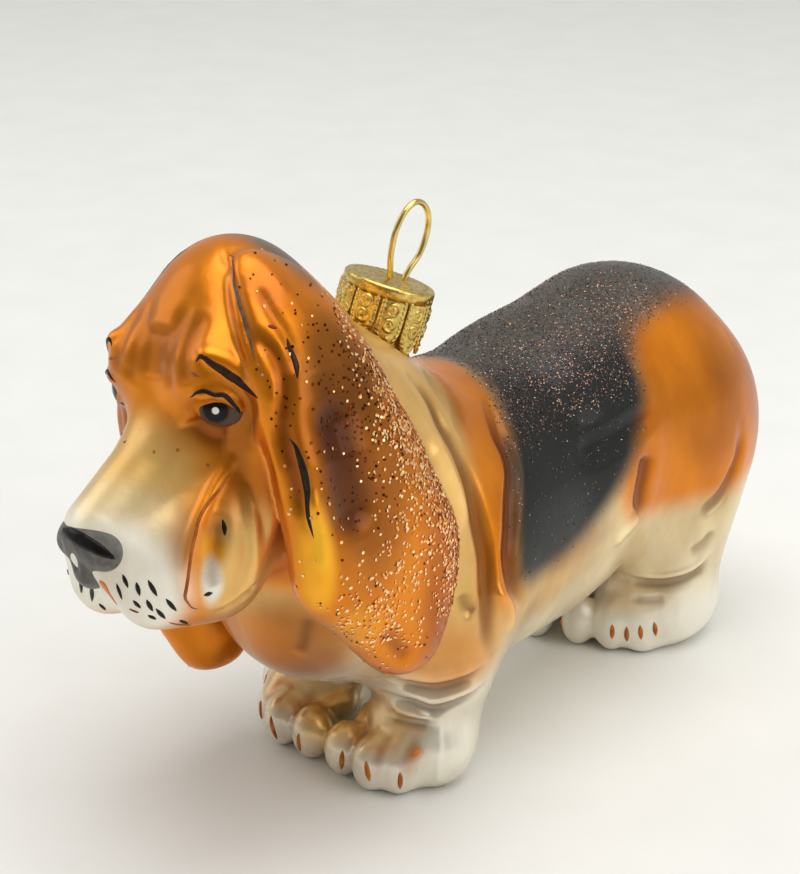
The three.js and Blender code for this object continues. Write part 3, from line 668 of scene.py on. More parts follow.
def new_mesh(name, points, faces, smooth=True):
    """An object from points in sculpt millimetres and faces of one size."""
    points = to_frame(points)
    faces = np.asarray(faces, dtype=np.int32)
    mesh = bpy.data.meshes.new(name)
    mesh.vertices.add(len(points))
    mesh.vertices.foreach_set("co", points.astype(np.float32).ravel())
    mesh.loops.add(faces.size)
    mesh.loops.foreach_set("vertex_index", faces.ravel())
    mesh.polygons.add(len(faces))
    mesh.polygons.foreach_set("loop_start", np.arange(0, faces.size, faces.shape[1], dtype=np.int32))
    mesh.polygons.foreach_set("use_smooth", np.full(len(faces), smooth))
    mesh.update(calc_edges=True)
    mesh.validate()
    piece = bpy.data.objects.new(name, mesh)
    bpy.context.scene.collection.objects.link(piece)
    return piece


def set_values(piece, name, values):
    """One number, or one colour, for each point of a mesh."""
    values = np.asarray(values, np.float32)
    if values.ndim == 1:
        layer = piece.data.attributes.new(name, "FLOAT", "POINT")
        layer.data.foreach_set("value", values)
    else:
        layer = piece.data.attributes.new(name, "FLOAT_COLOR", "POINT")
        opaque = np.ones((len(values), 1), np.float32)
        layer.data.foreach_set("color", np.hstack([values, opaque]).ravel())


def tube(rings):
    """Points and quads of a skin round a row of rings, with a face at each end."""
    count, around = rings.shape[:2]
    number = np.arange(count * around).reshape(count, around)
    ahead = np.roll(number, -1, 1)
    quads = [np.stack([number[:-1], ahead[:-1], ahead[1:], number[1:]], -1).reshape(-1, 4)]
    i = np.arange(around // 2 - 1)
    for row, order in ((number[0], 1), (number[-1], -1)):
        end = np.stack([row[i], row[around - 1 - i], row[around - 2 - i], row[i + 1]], -1)
        quads.append(end[:, ::order])
    return rings.reshape(-1, 3), np.vstack(quads)


def circle(count):
    return np.linspace(0, 2 * math.pi, count, endpoint=False)


def joined(parts):
    """One set of points and quads from several."""
    starts = np.cumsum([0] + [len(points) for points, _ in parts])
    quads = [faces + start for (_, faces), start in zip(parts, starts)]
    return np.vstack([points for points, _ in parts]), np.vstack(quads)


def unit(vectors):
    return vectors / np.maximum(np.linalg.norm(vectors, axis=-1, keepdims=True), 1e-9)


DOME = (-1, -0.6, -0.2, 0.2, 0.6, 1)  # places across a stroke, from edge to edge
STROKE_EDGE = 0.01  # how far a stroke's edge stands above the glass, mm
STROKE_FOOT = 0.12  # how deep its foot reaches into the glass, mm
STROKE_TIP = 0.02  # share of its width that it keeps at its tips


def stroke(form, points, half_widths, lift):
    """A low domed stroke of enamel, laid on a form and rounded off at both ends."""
    line = onto(form, open_curve(points, max(12, 5 * len(points))), 10, 0.5)
    normal = unit(slope(form, line)[1])
    across = np.cross(normal, unit(np.gradient(line, axis=0)))
    share = np.linspace(0, 1, len(line))
    round_end = np.sqrt(np.clip(1 - np.abs(2 * share - 1) ** 5, STROKE_TIP ** 2, 1))
    wide = np.interp(share, np.linspace(0, 1, len(half_widths)), half_widths) * round_end
    rings = []
    for place in DOME:
        spot = onto(form, line + across * (wide * place)[:, None], 3, 0.3)
        rings.append(spot + normal * (lift * (1 - place * place) * round_end + STROKE_EDGE)[:, None])
    for place in (DOME[-2], DOME[1]):
        rings.append(line + across * (wide * place)[:, None] - normal * STROKE_FOOT)
    return tube(np.stack(rings, 1))


# Paint. Colours are linear; each has a share of metal and a roughness.
PAINTS = {
    "silver": ((0.86, 0.82, 0.70), 0.5, 0.26),
    "pearl": ((0.92, 0.88, 0.76), 0.15, 0.34),
    "cream": ((0.82, 0.66, 0.38), 0.55, 0.32),
    "gold": ((0.74, 0.45, 0.12), 0.65, 0.32),
    "beige": ((0.80, 0.50, 0.16), 0.6, 0.34),
    "orange": ((0.84, 0.26, 0.006), 0.85, 0.35),
    "bright": ((0.98, 0.44, 0.02), 0.85, 0.32),
    "amber": ((0.42, 0.12, 0.003), 0.8, 0.36),
    "rust": ((0.42, 0.085, 0.008), 0.75, 0.38),
    "brown": ((0.13, 0.042, 0.003), 0.8, 0.38),
    "grey": ((0.11, 0.105, 0.09), 0.4, 0.45),
    "black": ((0.005, 0.007, 0.006), 0.1, 0.45),
}

# Sprayed areas, as outlines in the side view, (y, z)
SADDLE = (
    (8, 60), (5.2, 53), (2.2, 49.2), (-0.2, 45.5), (-2.6, 41), (-4.6, 36), (-5.6, 31), (-4.6, 29.5),
    (-1, 28.2), (5, 28.4), (11, 29.4), (15.5, 31.4), (19.5, 34.5), (22.5, 37.5), (26, 42), (28, 46),
    (29, 49.5), (33, 52.3), (42, 54), (50, 52.4), (57, 49.5), (64, 50), (62, 62), (35, 66),
)
BAND = (
    (-3, 58), (-8, 51), (-9.5, 44), (-11, 34), (-12, 24), (-6, 22), (-5, 30), (-3.5, 38), (1, 46),
    (5, 53), (4, 60),
)
HAUNCH_PATCH = (
    (34, 55), (29, 51), (26, 46), (23, 41), (20, 36), (20, 31), (26, 27.5), (34, 26.5), (44, 26),
    (54, 26), (68, 30), (70, 44), (64, 56), (48, 56),
)


def painted(points):
    """Colour, metal and roughness of the skin, sprayed on coat by coat; some coats are painted shade,
    highlight and reflection.
    """
    x, y, z = points.T
    side = np.abs(x)
    body = in_rows(body_form, points)
    ears = np.minimum(*[in_rows(lambda p: ear_form(p, ear), points) for ear in (1, -1)])
    on_ear = eased((body - ears) / 1.2 + 0.3)
    height = in_rows(relief, points)
    layers = np.tile([*PAINTS["cream"][0], *PAINTS["cream"][1:]], (len(points), 1))

    def coat(paint, share):
        new_colour, new_metal, new_rough = PAINTS[paint]
        layers[:] += share[:, None] * ([*new_colour, new_metal, new_rough] - layers)

    def puff(at, radii, soft=0.9):
        parts = [(axis - middle) / radius for axis, middle, radius in zip((side, y, z), at, radii)]
        far = np.sqrt(parts[0] ** 2 + parts[1] ** 2 + parts[2] ** 2)
        return eased((1 - far) / soft + 0.5)

    def stencil(outline, soft):
        return eased(0.5 - outline_distance(y, z, closed_curve(outline, 3)) / (2 * soft))

    def below(level, soft):
        return eased((level - z) / soft + 0.5)

    off_ear = 1 - on_ear
    neck = eased((4 - y) / 3) * off_ear
    # Legs and underside
    coat("pearl", below(19, 10))
    coat("silver", below(21, 6) * eased((6 - y) / 6))
    coat("cream", puff((8, 10, 16), (14, 22, 7), 0.8) * 0.7)
    coat("gold", puff((14, -12, 22), (9, 10, 6)) * 0.8)
    # Painted reflection: a gold glow in the hollow between the forefeet, where it reflects the orange
    coat("gold", puff((0, -18, 9), (5, 6, 7)) * 0.9)
    coat("beige", puff((7, -19, 9.5), (8, 5, 4)) * 0.75)
    for toe_x, toe_y in FORE_TOES:
        coat("amber", puff((toe_x + 2.2, toe_y + 1.2, 5.8), (0.9, 3, 2.6)) * 0.55)
    coat("beige", puff((10, 32, 12), (7, 7, 5)) * 0.4)
    coat("cream", puff((12, 42, 20), (14, 22, 10), 0.8) * 0.75)
    coat("beige", puff((17, 3, 27), (9, 10, 6)) * 0.85)
    coat("amber", puff((18, 8, 29), (8, 9, 3)) * 0.35)
    coat("orange", puff((14.4, -17.2, 6.8), (1, 1.3, 1)) * 0.35)
    # Neck, chest and shoulders
    coat("beige", neck * eased((z - 22) / 8))
    coat("amber", puff((7, -31, 26), (9, 6, 8)) * 0.8 * off_ear)
    coat("orange", puff((3, -33, 25), (5, 4, 5)) * 0.5 * off_ear)
    coat("orange", stencil(BAND, 2.4) * eased((z - 22) / 12) * off_ear)
    coat("orange", puff((17, -14, 22), (6, 6, 6)) * 0.5 * off_ear)
    # Back
    haunch = stencil(HAUNCH_PATCH, 2.8) * eased((y - 14) / 4)
    coat("orange", haunch)
    coat("amber", puff((18, 40, 41), (9, 9, 9)) * haunch * 0.6)
    coat("rust", puff((17, 60, 40), (12, 9, 15)) * 0.7)
    saddle = stencil(SADDLE, 2.4) * off_ear
    coat("amber", stencil(SADDLE, 4.5) * off_ear * eased((z - 30) / 8) * 0.6)
    coat("black", saddle)
    # Painted highlight: the top of the black saddle is lighter grey, where it faces up to the light
    coat("grey", puff((0, 30, 56), (12, 36, 6.5)) * saddle * 0.75)
    # Head
    head = eased((-20 - y) / 5) * eased((z - 33) / 4) * off_ear
    coat("orange", head)
    coat("amber", puff((0, -42, 70), (5, 7, 6)) * head * 0.45)
    # Painted shade: darker amber down the side of the face, under the ear
    coat("amber", puff((12.5, -41.5, 54), (4.5, 5.5, 13), 0.8) * head * 0.9)
    coat("brown", puff((8.6, -45.5, 60), (4.6, 4, 3.8)) * head * 0.35)
    coat("beige", puff((0, -51, 53), (8, 9, 6.5), 0.8) * head)
    coat("beige", puff((12, -44, 42), (4, 6, 8), 0.8) * head * 0.9)
    coat("cream", puff((2, -54, 48), (8, 7, 5), 0.7) * head * 0.8)
    coat("pearl", puff((3, -57.5, 41.5), (9.5, 9.5, 8.5), 0.45) * head)
    # Ears
    coat("orange", on_ear)
    coat("amber", puff((20, -33, 54), (7, 8, 15)) * on_ear)
    coat("brown", puff((17, -33, 65), (6, 5.5, 9)) * on_ear * 0.75)
    coat("brown", puff((20, -35, 52), (6, 4, 6)) * on_ear * 0.4)
    coat("rust", puff((22, -20, 36), (6, 5, 14)) * on_ear * 0.6)
    coat("bright", puff((20.5, -40.4, 45), (3, 1.8, 7)) * on_ear)
    coat("bright", puff((20, -35.5, 34), (4, 4, 4)) * on_ear * 0.5)
    coat("grey", puff((5, -27.5, 77), (11, 5, 5)) * 0.9)
    coat("rust", puff((9, -36.5, 74), (3.2, 2.6, 4.5)) * 0.5)
    # A bright spot in the window of the cheek, a painted reflection, and a silver spot where the bare
    # silvering shows
    coat("bright", puff((11.2, -48, 46), (2, 1.3, 1.8), 0.8) * head)
    coat("silver", puff((11.2, -48.4, 42.2), (2, 1.2, 3), 0.8) * head)
    # Painted shade in the grooves and painted highlight on the ridges: the grooves are darkened and the
    # ridges lightened, partly as lacquer that pools in the grooves and is thin on the ridges
    painted_groove_shade = eased(-height / 0.9) * 0.85
    colour, metal, rough = layers[:, :3], layers[:, 3], layers[:, 4]
    dark = colour * (0.30, 0.20, 0.13)
    colour = colour + painted_groove_shade[:, None] * (dark - colour)
    colour = np.clip(colour * (1 + 0.25 * eased(height / 0.8)[:, None]), 0, 1)
    return colour, metal, rough


def glitter_shares(points):
    """How thickly glitter lies at each point: on the ears' rear edges, as specks on them, on the back."""
    x, y, z = points.T
    body = in_rows(body_form, points)
    on_ear = np.zeros(len(points))
    rear = np.zeros(len(points))
    for side in (1, -1):
        outline, spread = EARS[side]
        middle = np.interp(z, *zip(*spread))
        here = (in_rows(lambda p: ear_form(p, side), points) < body - 0.2) * (x * side > middle)
        edge = outline_distance(y, z, outline)
        on_ear = np.maximum(on_ear, here)
        behind = eased((y + 35 - 0.1 * (z - 40)) / 9) * (0.5 + eased((edge + 8) / 5))
        behind *= eased((74 - z) / 4) * eased((z - 28) / 10)
        low = np.exp(-((y + 33) / 5) ** 2 - ((z - 37) / 5) ** 2)
        rear = np.maximum(rear, (behind + 0.6 * low) * here * (edge < -0.7))
    temple = np.exp(-((z - 61) / 8) ** 2 - ((y + 32) / 6) ** 2)
    saddle = eased(0.5 - outline_distance(y, z, closed_curve(SADDLE, 3)) / 2)
    clear = np.hypot(x, y - MOUNT_TOP[1]) > 9  # off the mount
    along_back = 0.05 + 0.95 * eased((z - 42) / 11) * eased((50 - y) / 20)
    return {
        "ears": rear + 0.03 * on_ear,
        "specks": on_ear * temple + 0.05 * on_ear,
        "back": saddle * (1 - on_ear) * clear * along_back,
    }


# Materials
def set_inputs(node, inputs):
    for name, value in inputs.items():
        node.inputs[name].default_value = value
    return node


def new_material(name, inputs):
    material = bpy.data.materials.new(name)
    material.use_nodes = True
    tree = material.node_tree
    return material, tree, set_inputs(tree.nodes["Principled BSDF"], inputs)


def new_noise(tree, place, scale, detail):
    noise = set_inputs(tree.nodes.new("ShaderNodeTexNoise"), {"Scale": scale, "Detail": detail})
    tree.links.new(place, noise.inputs["Vector"])
    return noise.outputs["Fac"]


def bumped(tree, shader, scale, strength, distance):
    """Fine unevenness of the surface; its distance is in metres."""
    place = tree.nodes.new("ShaderNodeTexCoord").outputs["Object"]
    noise = new_noise(tree, place, scale, detail=3.0)
    bump = set_inputs(tree.nodes.new("ShaderNodeBump"), {"Strength": strength, "Distance": distance})
    tree.links.new(noise, bump.inputs["Height"])
    tree.links.new(bump.outputs["Normal"], shader.inputs["Normal"])
    return place, noise


def shade_between(tree, source, low, high, dark, light):
    """A factor turned into a colour between two."""
    ramp = tree.nodes.new("ShaderNodeValToRGB")
    tree.links.new(source, ramp.inputs["Fac"])
    for stop, position, colour in zip(ramp.color_ramp.elements, (low, high), (dark, light)):
        stop.position = position
        stop.color = (*colour, 1)
    return ramp.outputs["Color"]


def point_value(tree, name, output):
    """A value that each point of the piece carries."""
    node = tree.nodes.new("ShaderNodeAttribute")
    node.attribute_name = name
    return node.outputs[output]


def lacquer_material():
    """Silvered glass under airbrushed lacquer; paint, metal and roughness are the skin's own values."""
    material, tree, shader = new_material(
        "lacquered_glass", {"Specular IOR Level": 0.25, "Coat Weight": 0.25, "Coat Roughness": 0.12},
    )
    place, _ = bumped(tree, shader, scale=420.0, strength=0.12, distance=0.0004)
    stretch = set_inputs(tree.nodes.new("ShaderNodeMapping"), {"Scale": (1.0, 1.0, 0.5)})
    tree.links.new(place, stretch.inputs["Vector"])
    mottle = new_noise(tree, stretch.outputs["Vector"], scale=130.0, detail=4.0)
    tint = shade_between(tree, mottle, 0.33, 0.62, (0.78, 0.72, 0.66), (1.0, 1.0, 1.0))
    blend = tree.nodes.new("ShaderNodeMix")
    blend.data_type = "RGBA"
    blend.blend_type = "MULTIPLY"
    blend.inputs["Factor"].default_value = 1.0
    tree.links.new(point_value(tree, "paint", "Color"), blend.inputs[6])
    tree.links.new(tint, blend.inputs[7])
    tree.links.new(blend.outputs[2], shader.inputs["Base Color"])
    tree.links.new(point_value(tree, "metal", "Fac"), shader.inputs["Metallic"])
    tree.links.new(point_value(tree, "rough", "Fac"), shader.inputs["Roughness"])
    return material


def shaded_material(name, dark, light, low, high, bump, inputs):
    """Material that wanders between two colours; bump is the scale, strength and distance of its bumps."""
    material, tree, shader = new_material(name, inputs)
    _, noise = bumped(tree, shader, *bump)
    tree.links.new(shade_between(tree, noise, low, high, dark, light), shader.inputs["Base Color"])
    return material


def enamel_material(name, dark, light, roughness):
    return shaded_material(name, dark, light, 0.35, 0.65, (900.0, 0.15, 0.0002), {
        "Roughness": roughness, "Specular IOR Level": 0.12, "Coat Weight": 0.1, "Coat Roughness": 0.1,
    })


def metal_material(name, dark, light, roughness, bump):
    return shaded_material(name, dark, light, 0.3, 0.7, bump, {"Metallic": 1.0, "Roughness": roughness})


def painted_material(name, roughness, coat, metal=0.0):
    """Material whose colour is the paint value of each point."""
    material, tree, shader = new_material(name, {
        "Metallic": metal, "Roughness": roughness, "Specular IOR Level": 0.12, "Coat Weight": coat,
        "Coat Roughness": 0.08,
    })
    bumped(tree, shader, scale=900.0, strength=0.1, distance=0.0002)
    tree.links.new(point_value(tree, "paint", "Color"), shader.inputs["Base Color"])
    return material


def finish_piece(piece, slot, material, *nodes):
    piece.data.materials.clear()
    piece.data.materials.append(material)
    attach(piece, "root")
    if nodes:
        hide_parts(*nodes)


# The camera
def place_camera():
    azimuth = math.radians(VIEW["azimuth"])
    elevation = math.radians(VIEW["elevation"])
    level = math.cos(elevation)
    back = Vector((math.sin(azimuth) * level, -math.cos(azimuth) * level, math.sin(elevation)))
    right = Vector((math.cos(azimuth), math.sin(azimuth), 0))
    up = back.cross(right)
    lens = bpy.data.cameras.new("camera")
    lens.sensor_width = SENSOR
    lens.lens = LENS
    lens.clip_start = NEAR_CLIP
    camera = bpy.data.objects.new("camera", lens)
    turn = Matrix((right, up, back)).transposed().to_4x4()
    at = Vector(to_frame(VIEW["target"])) + back * VIEW["distance"] * MM
    camera.matrix_world = Matrix.Translation(at) @ turn
    bpy.context.scene.collection.objects.link(camera)
    bpy.context.scene.camera = camera


place_camera()

# The glass skin
skin, skin_points = meshed("skin", glass_form, SKIN_BOX, SKIN_CELL)
for value_name, point_values in zip(("paint", "metal", "rough"), painted(skin_points)):
    set_values(skin, value_name, point_values)
finish_piece(
    skin, "orange_lacquered_glass", lacquer_material(), "head", "neck", "torso", "tail", "ear_left",
    "ear_right", "leg_front_left", "leg_front_right", "leg_hind_left", "leg_hind_right",
)

# Nose: a satin pad with two dents, a groove between them and a glossy band of black across it
NOSTRIL = {"x": 2.7, "y": -58.2, "z": 45.6, "width": 0.75, "depth": 0.3}
NOSE_GROOVE = {"top": (-0.9, -59.6, 46.2), "foot": (-0.9, -58.2, 43.4), "width": 0.5, "depth": 0.3}
NOSE_BAND = (
    (4, -56.6, 45.8), (2.8, -57.9, 46.9), (0.6, -58.8, 47.6), (-1.8, -58.8, 47.8), (-3.8, -58, 47.4),
)
NOSE_BAND_HALF_WIDTHS = (0.35, 0.75, 0.95, 0.8, 0.35)


def nose_with_nostrils(p):
    form = nose_form(p)
    for side in (-1, 1):
        at = (NOSE_PAD[0][0] + side * NOSTRIL["x"], NOSTRIL["y"], NOSTRIL["z"])
        away = sum((part - middle) ** 2 for part, middle in zip(p, at))
        form = form + NOSTRIL["depth"] * np.exp(-away / NOSTRIL["width"] ** 2)
    groove, _ = along_segment(p, NOSE_GROOVE["top"], NOSE_GROOVE["foot"])
    return form + NOSE_GROOVE["depth"] * np.exp(-(groove / NOSE_GROOVE["width"]) ** 2)


nose, _ = meshed("nose_pad", nose_with_nostrils, NOSE_BOX, NOSE_CELL)
nose_paint = enamel_material("nose_enamel", (0.105, 0.098, 0.088), (0.17, 0.16, 0.145), 0.36)
finish_piece(nose, "black_enamel", nose_paint, "nose")
nose_band = new_mesh("nose_band", *stroke(nose_with_nostrils, NOSE_BAND, NOSE_BAND_HALF_WIDTHS, 0.06))
band_paint = enamel_material("wet_black", (0.004, 0.004, 0.004), (0.012, 0.01, 0.01), 0.12)
finish_piece(nose_band, "black_enamel", band_paint)

# Eyes: a dark brown ball, and on it a browner ring, a black pupil and a light dot, (radius, colour)
BALL_COLOUR = (0.09, 0.055, 0.035)
PUPIL_AT = (-0.65, 0.3)
PUPIL = ((1.7, (0.08, 0.035, 0.015)), (1.45, (0.006, 0.005, 0.005)), (0.42, (0.80, 0.78, 0.72)))
PUPIL_EDGE = 0.06  # width over which a colour turns into the next
EYE_BEND = (0.004, 1.9)  # angles from the front of the eyeball at its first and last ring, radians


def eyeball(side):
    """Points, quads and colours of one eye."""
    bend = np.linspace(*EYE_BEND, 60)[:, None]
    around = circle(96)[None, :]
    local = np.stack([
        np.cos(bend) * np.ones_like(around), np.sin(bend) * np.cos(around), np.sin(bend) * np.sin(around),
    ], -1) * EYE["radii"]
    rings = local @ turned(0, EYE["turn"]).T + EYE["at"]
    across = np.hypot(local[..., 1] - PUPIL_AT[0], local[..., 2] - PUPIL_AT[1]).ravel()
    colour = np.tile(BALL_COLOUR, (across.size, 1))
    for radius, paint in PUPIL:
        colour += eased((radius - across) / PUPIL_EDGE + 0.5)[:, None] * (paint - colour)
    points, quads = tube(rings)
    if side < 0:
        points = mirrored(points)
        quads = quads[:, ::-1]
    return points, quads, colour


eye_paint = painted_material("eye_enamel", roughness=0.25, coat=0.1)
for eye_side, eye_name in ((1, "left"), (-1, "right")):
    eye_points, eye_quads, eye_colour = eyeball(eye_side)
    eye = new_mesh("eye_paint_" + eye_name, eye_points, eye_quads)
    set_values(eye, "paint", eye_colour)
    finish_piece(eye, "black_enamel", eye_paint, "eye_" + eye_name)

# Brush strokes: paint, whether both sides have it, half widths along it, and where it runs
STROKES = {
    "upper lid": ("black", True, (0.10, 0.26, 0.3, 0.3, 0.14), (
        (6.1, -46.3, 62.9), (7.2, -45.9, 63.6), (8, -45.4, 63.8), (8.9, -44.7, 63.7), (9.6, -44, 63.4),
        (10.3, -43, 62.2), (10.6, -42.6, 60.8),
    )),
    "lower lid": ("red", False, (0.10, 0.2, 0.2, 0.10), (
        (7.1, -45.5, 61.3), (7.6, -45, 60.6), (8.1, -44.6, 60.2), (8.8, -44.2, 60.1), (9.4, -43.7, 60.2),
    )),
    "brow": ("brown", True, (0.14, 0.2, 0.32, 0.5, 0.55, 0.4, 0.16), (
        (6.5, -45.4, 67.1), (6.8, -45, 67.6), (7.3, -44.6, 67.7), (8.9, -43.8, 66.7), (10.1, -42.6, 65.5),
        (12, -42.1, 64.2), (13.5, -42.3, 63.7),
    )),
    "smudge": ("rust", True, (0.1, 0.25, 0.1), ((5.6, -46.3, 65.9), (6.6, -46, 65.8), (7.4, -45.7, 65.6))),
    # Painted shade: a dark brown line in the slit of the ear, along its crease
    "shade in the ear slit": ("brown", False, (0.12, 0.3, 0.34, 0.14), (
        (13.5, -37.8, 69.9), (14.4, -38.1, 68.6), (15.5, -38.4, 67.1), (16.2, -38.9, 65.8),
    )),
    "slit dab": ("red", False, (0.15, 0.3, 0.15), ((11.8, -39.2, 71.1), (12.5, -38.1, 70.9))),
    # Painted shade: a black line along the crease where the ear meets the head
    "ear root": ("black", False, (0.12, 0.35, 0.5, 0.5, 0.4, 0.3, 0.12), (
        (16.8, -41.7, 59.4), (17.6, -41.5, 58.1), (18.4, -41.3, 56.2), (18.8, -41.2, 54.4),
        (19.1, -41.1, 52.8), (19.6, -40.9, 50.3), (20.2, -40.5, 48),
    )),
    # Painted shade: a grey line along the crease in front of the ear
    "shade in the ear crease": ("grey", True, (0.08, 0.2, 0.26, 0.24, 0.1), (
        (1.6, -36, 76.6), (4.9, -38.3, 75.3), (8.9, -40.3, 72.1), (12.3, -41.7, 67.6),
    )),
    "front of the cheek": ("rust", True, (0.1, 0.22, 0.22, 0.22, 0.1), (
        (10, -43.5, 54.2), (9.5, -45, 52.9), (9.4, -47, 51.3), (9.6, -49.1, 48.9), (10, -50.7, 46),
        (10, -51.3, 42.8), (9.8, -50.7, 39.6), (10.1, -49.7, 38.8),
    )),
    # Painted reflections: two black marks in the window of the cheek
    "cheek window reflection spot": ("black", True, (0.1, 0.3, 0.1), ((11.4, -46.7, 49.3), (11.7, -46.8, 47.6))),
    "cheek window reflection fleck": ("black", True, (0.1, 0.35, 0.1), ((10.8, -49.4, 40.7), (11.4, -48.4, 40.7))),
    "philtrum": ("orange", False, (0.5, 0.6, 0.35, 0.15), (
        (2.0, -57.3, 42.4), (2.0, -56.4, 40.7), (2.8, -55.7, 39),
    )),
    "notch": ("red", False, (0.1, 0.2, 0.1), ((5, -55.7, 39.3), (6, -55.1, 38.9))),
    "lip line": ("rust", True, (0.08, 0.16, 0.08), ((7.6, -52.1, 37), (7.8, -50.6, 36.1), (8, -49, 35.5))),
    "left dab": ("orange", True, (0.2, 0.34, 0.2), ((14.1, -17.7, 6.4), (14.7, -16.7, 7.3))),
    "first freckle": ("rust", True, (0.1, 0.22, 0.1), ((2.4, -48.9, 56.3), (2.7, -48.9, 55.9))),
    "second freckle": ("rust", True, (0.1, 0.25, 0.1), ((4.6, -47.2, 56.6), (4.9, -47.2, 56.2))),
    "third freckle": ("rust", True, (0.1, 0.2, 0.1), ((7.6, -45.3, 55), (7.8, -45.3, 54.6))),
}
# Whiskers of the left side, then those of the right that differ
WHISKERS = (
    ((4.1, -56.6, 42.6), (4.4, -56.2, 40.4)), ((4.9, -56.3, 43.9), (5.5, -56.1, 42.2)),
    ((6.3, -55.5, 43.1), (6.6, -55.3, 41.3)), ((7.3, -54.6, 43.4), (8, -53.9, 41.2)),
    ((5.8, -55.7, 40.7), (6.4, -55.1, 39.6)), ((7.1, -54.8, 40.9), (7.3, -54.1, 39.1)),
    ((7.6, -53.9, 39.6), (7.7, -52.6, 37.7)), ((8.6, -53.2, 40.9), (8.8, -51.8, 38.8)),
    ((6.7, -54.4, 38.6), (7.1, -53.5, 37.8)), ((8.3, -51.1, 37.3), (8.1, -49.6, 36.1)),
)
RIGHT_WHISKERS = (
    ((-2.4, -56.9, 41), (-3.6, -55.9, 38.3)), ((-1, -56.4, 40.5), (-2.7, -55.1, 37.2)),
    ((-2, -54.6, 37.1), (-2.1, -53.6, 35.8)),
)
WHISKER_HALF_WIDTHS = (0.06, 0.24, 0.3, 0.22, 0.06)
WHISKER_LIFT = 0.12
WHISKER_SPLIT = 5.5  # whiskers that start further out than this are on both sides
FORE_CLAWS = (
    ((4.8, -21.2, 5.1), (4.4, -21.1, 1.8)), ((9.5, -21.6, 5.6), (10, -21.4, 2.5)),
    ((13.6, -19.4, 4.6), (13.3, -19.1, 1.7)), ((-12.2, -20.2, 5.5), (-11.6, -20.8, 2.9)),
    ((-8.3, -21.9, 5.4), (-7.6, -21.4, 1.8)), ((-2.9, -21.9, 4.8), (-3, -21.4, 1.7)),
)
# Claws of the left hind paw, which the right one has too, further forward, and one between the paws
HIND_CLAWS = (
    ((9.4, 31.3, 5.4), (9.5, 31.3, 2.9)), ((11.2, 32.5, 5.2), (11.1, 32.9, 2.4)),
    ((12.9, 33.5, 5.7), (13.1, 33.7, 3.1)), ((14.4, 34.9, 6.2), (14.6, 35.3, 3.7)),
)
INNER_CLAW = ((1.4, 29.2, 4.3), (1.2, 29.2, 2.4))
CLAW_HALF_WIDTHS = (0.1, 0.32, 0.38, 0.3, 0.06)
CLAW_LIFT = 0.2
STROKE_LIFT = 0.1  # height of a brush stroke above the glass, mm
# Slot, the two colours that a paint wanders between, and its roughness
ENAMELS = {
    "black": ("black_enamel", (0.006, 0.004, 0.003), (0.02, 0.014, 0.01), 0.3),
    "brown": ("black_enamel", (0.012, 0.005, 0.003), (0.04, 0.014, 0.005), 0.35),
    "grey": ("black_enamel", (0.07, 0.045, 0.03), (0.16, 0.11, 0.08), 0.4),
    "red": ("orange_lacquered_glass", (0.16, 0.016, 0.008), (0.30, 0.04, 0.015), 0.35),
    "rust": ("orange_lacquered_glass", (0.28, 0.075, 0.015), (0.45, 0.14, 0.03), 0.35),
    "orange": ("orange_lacquered_glass", (0.62, 0.16, 0.03), (0.80, 0.27, 0.06), 0.35),
    "claw": ("orange_lacquered_glass", (0.34, 0.085, 0.012), (0.55, 0.18, 0.03), 0.35),
}


def all_strokes():
    """The strokes of each paint."""
    found = {paint: [] for paint in ENAMELS}

    def add(paint, points, half_widths, lift, both=False):
        for way in (points, mirrored(points)) if both else (points,):
            found[paint].append(stroke(glass_form, way, half_widths, lift))

    for paint, both, half_widths, points in STROKES.values():
        add(paint, points, half_widths, STROKE_LIFT, both)
    for points in WHISKERS:
        add("black", points, WHISKER_HALF_WIDTHS, WHISKER_LIFT, points[0][0] > WHISKER_SPLIT)
    for points in RIGHT_WHISKERS:
        add("black", points, WHISKER_HALF_WIDTHS, WHISKER_LIFT)
    right_hind = [[(-x, y - RIGHT_STEP, z) for x, y, z in points] for points in HIND_CLAWS]
    for points in (*FORE_CLAWS, *HIND_CLAWS, INNER_CLAW, *right_hind):
        add("claw", points, CLAW_HALF_WIDTHS, CLAW_LIFT)
    return found


for paint_name, stroke_parts in all_strokes().items():
    slot_name, *look = ENAMELS[paint_name]
    strokes = new_mesh("strokes_" + paint_name, *joined(stroke_parts))
    finish_piece(strokes, slot_name, enamel_material("enamel_" + paint_name, *look))

# Glitter
FLAKE_HUES = {
    "copper": ((1.0, 0.52, 0.18), (1.0, 0.64, 0.28), (1.0, 0.76, 0.44), (0.90, 0.38, 0.11)),
    "dark": ((0.09, 0.02, 0.006), (0.14, 0.03, 0.008), (0.06, 0.015, 0.006), (0.22, 0.05, 0.01)),
    "back": (
        (0.26, 0.13, 0.09), (0.15, 0.09, 0.10), (0.36, 0.20, 0.12), (0.07, 0.05, 0.05), (0.20, 0.17, 0.16),
    ),
}
FLAKE_LIFT = 0.03  # how far a flake's middle lies above the glass, mm, and more by a share of its radius
FLAKE_LIFT_SHARE = 0.25
FLAKE_SIZES = (0.65, 1.2)  # least and largest, as shares of the radius


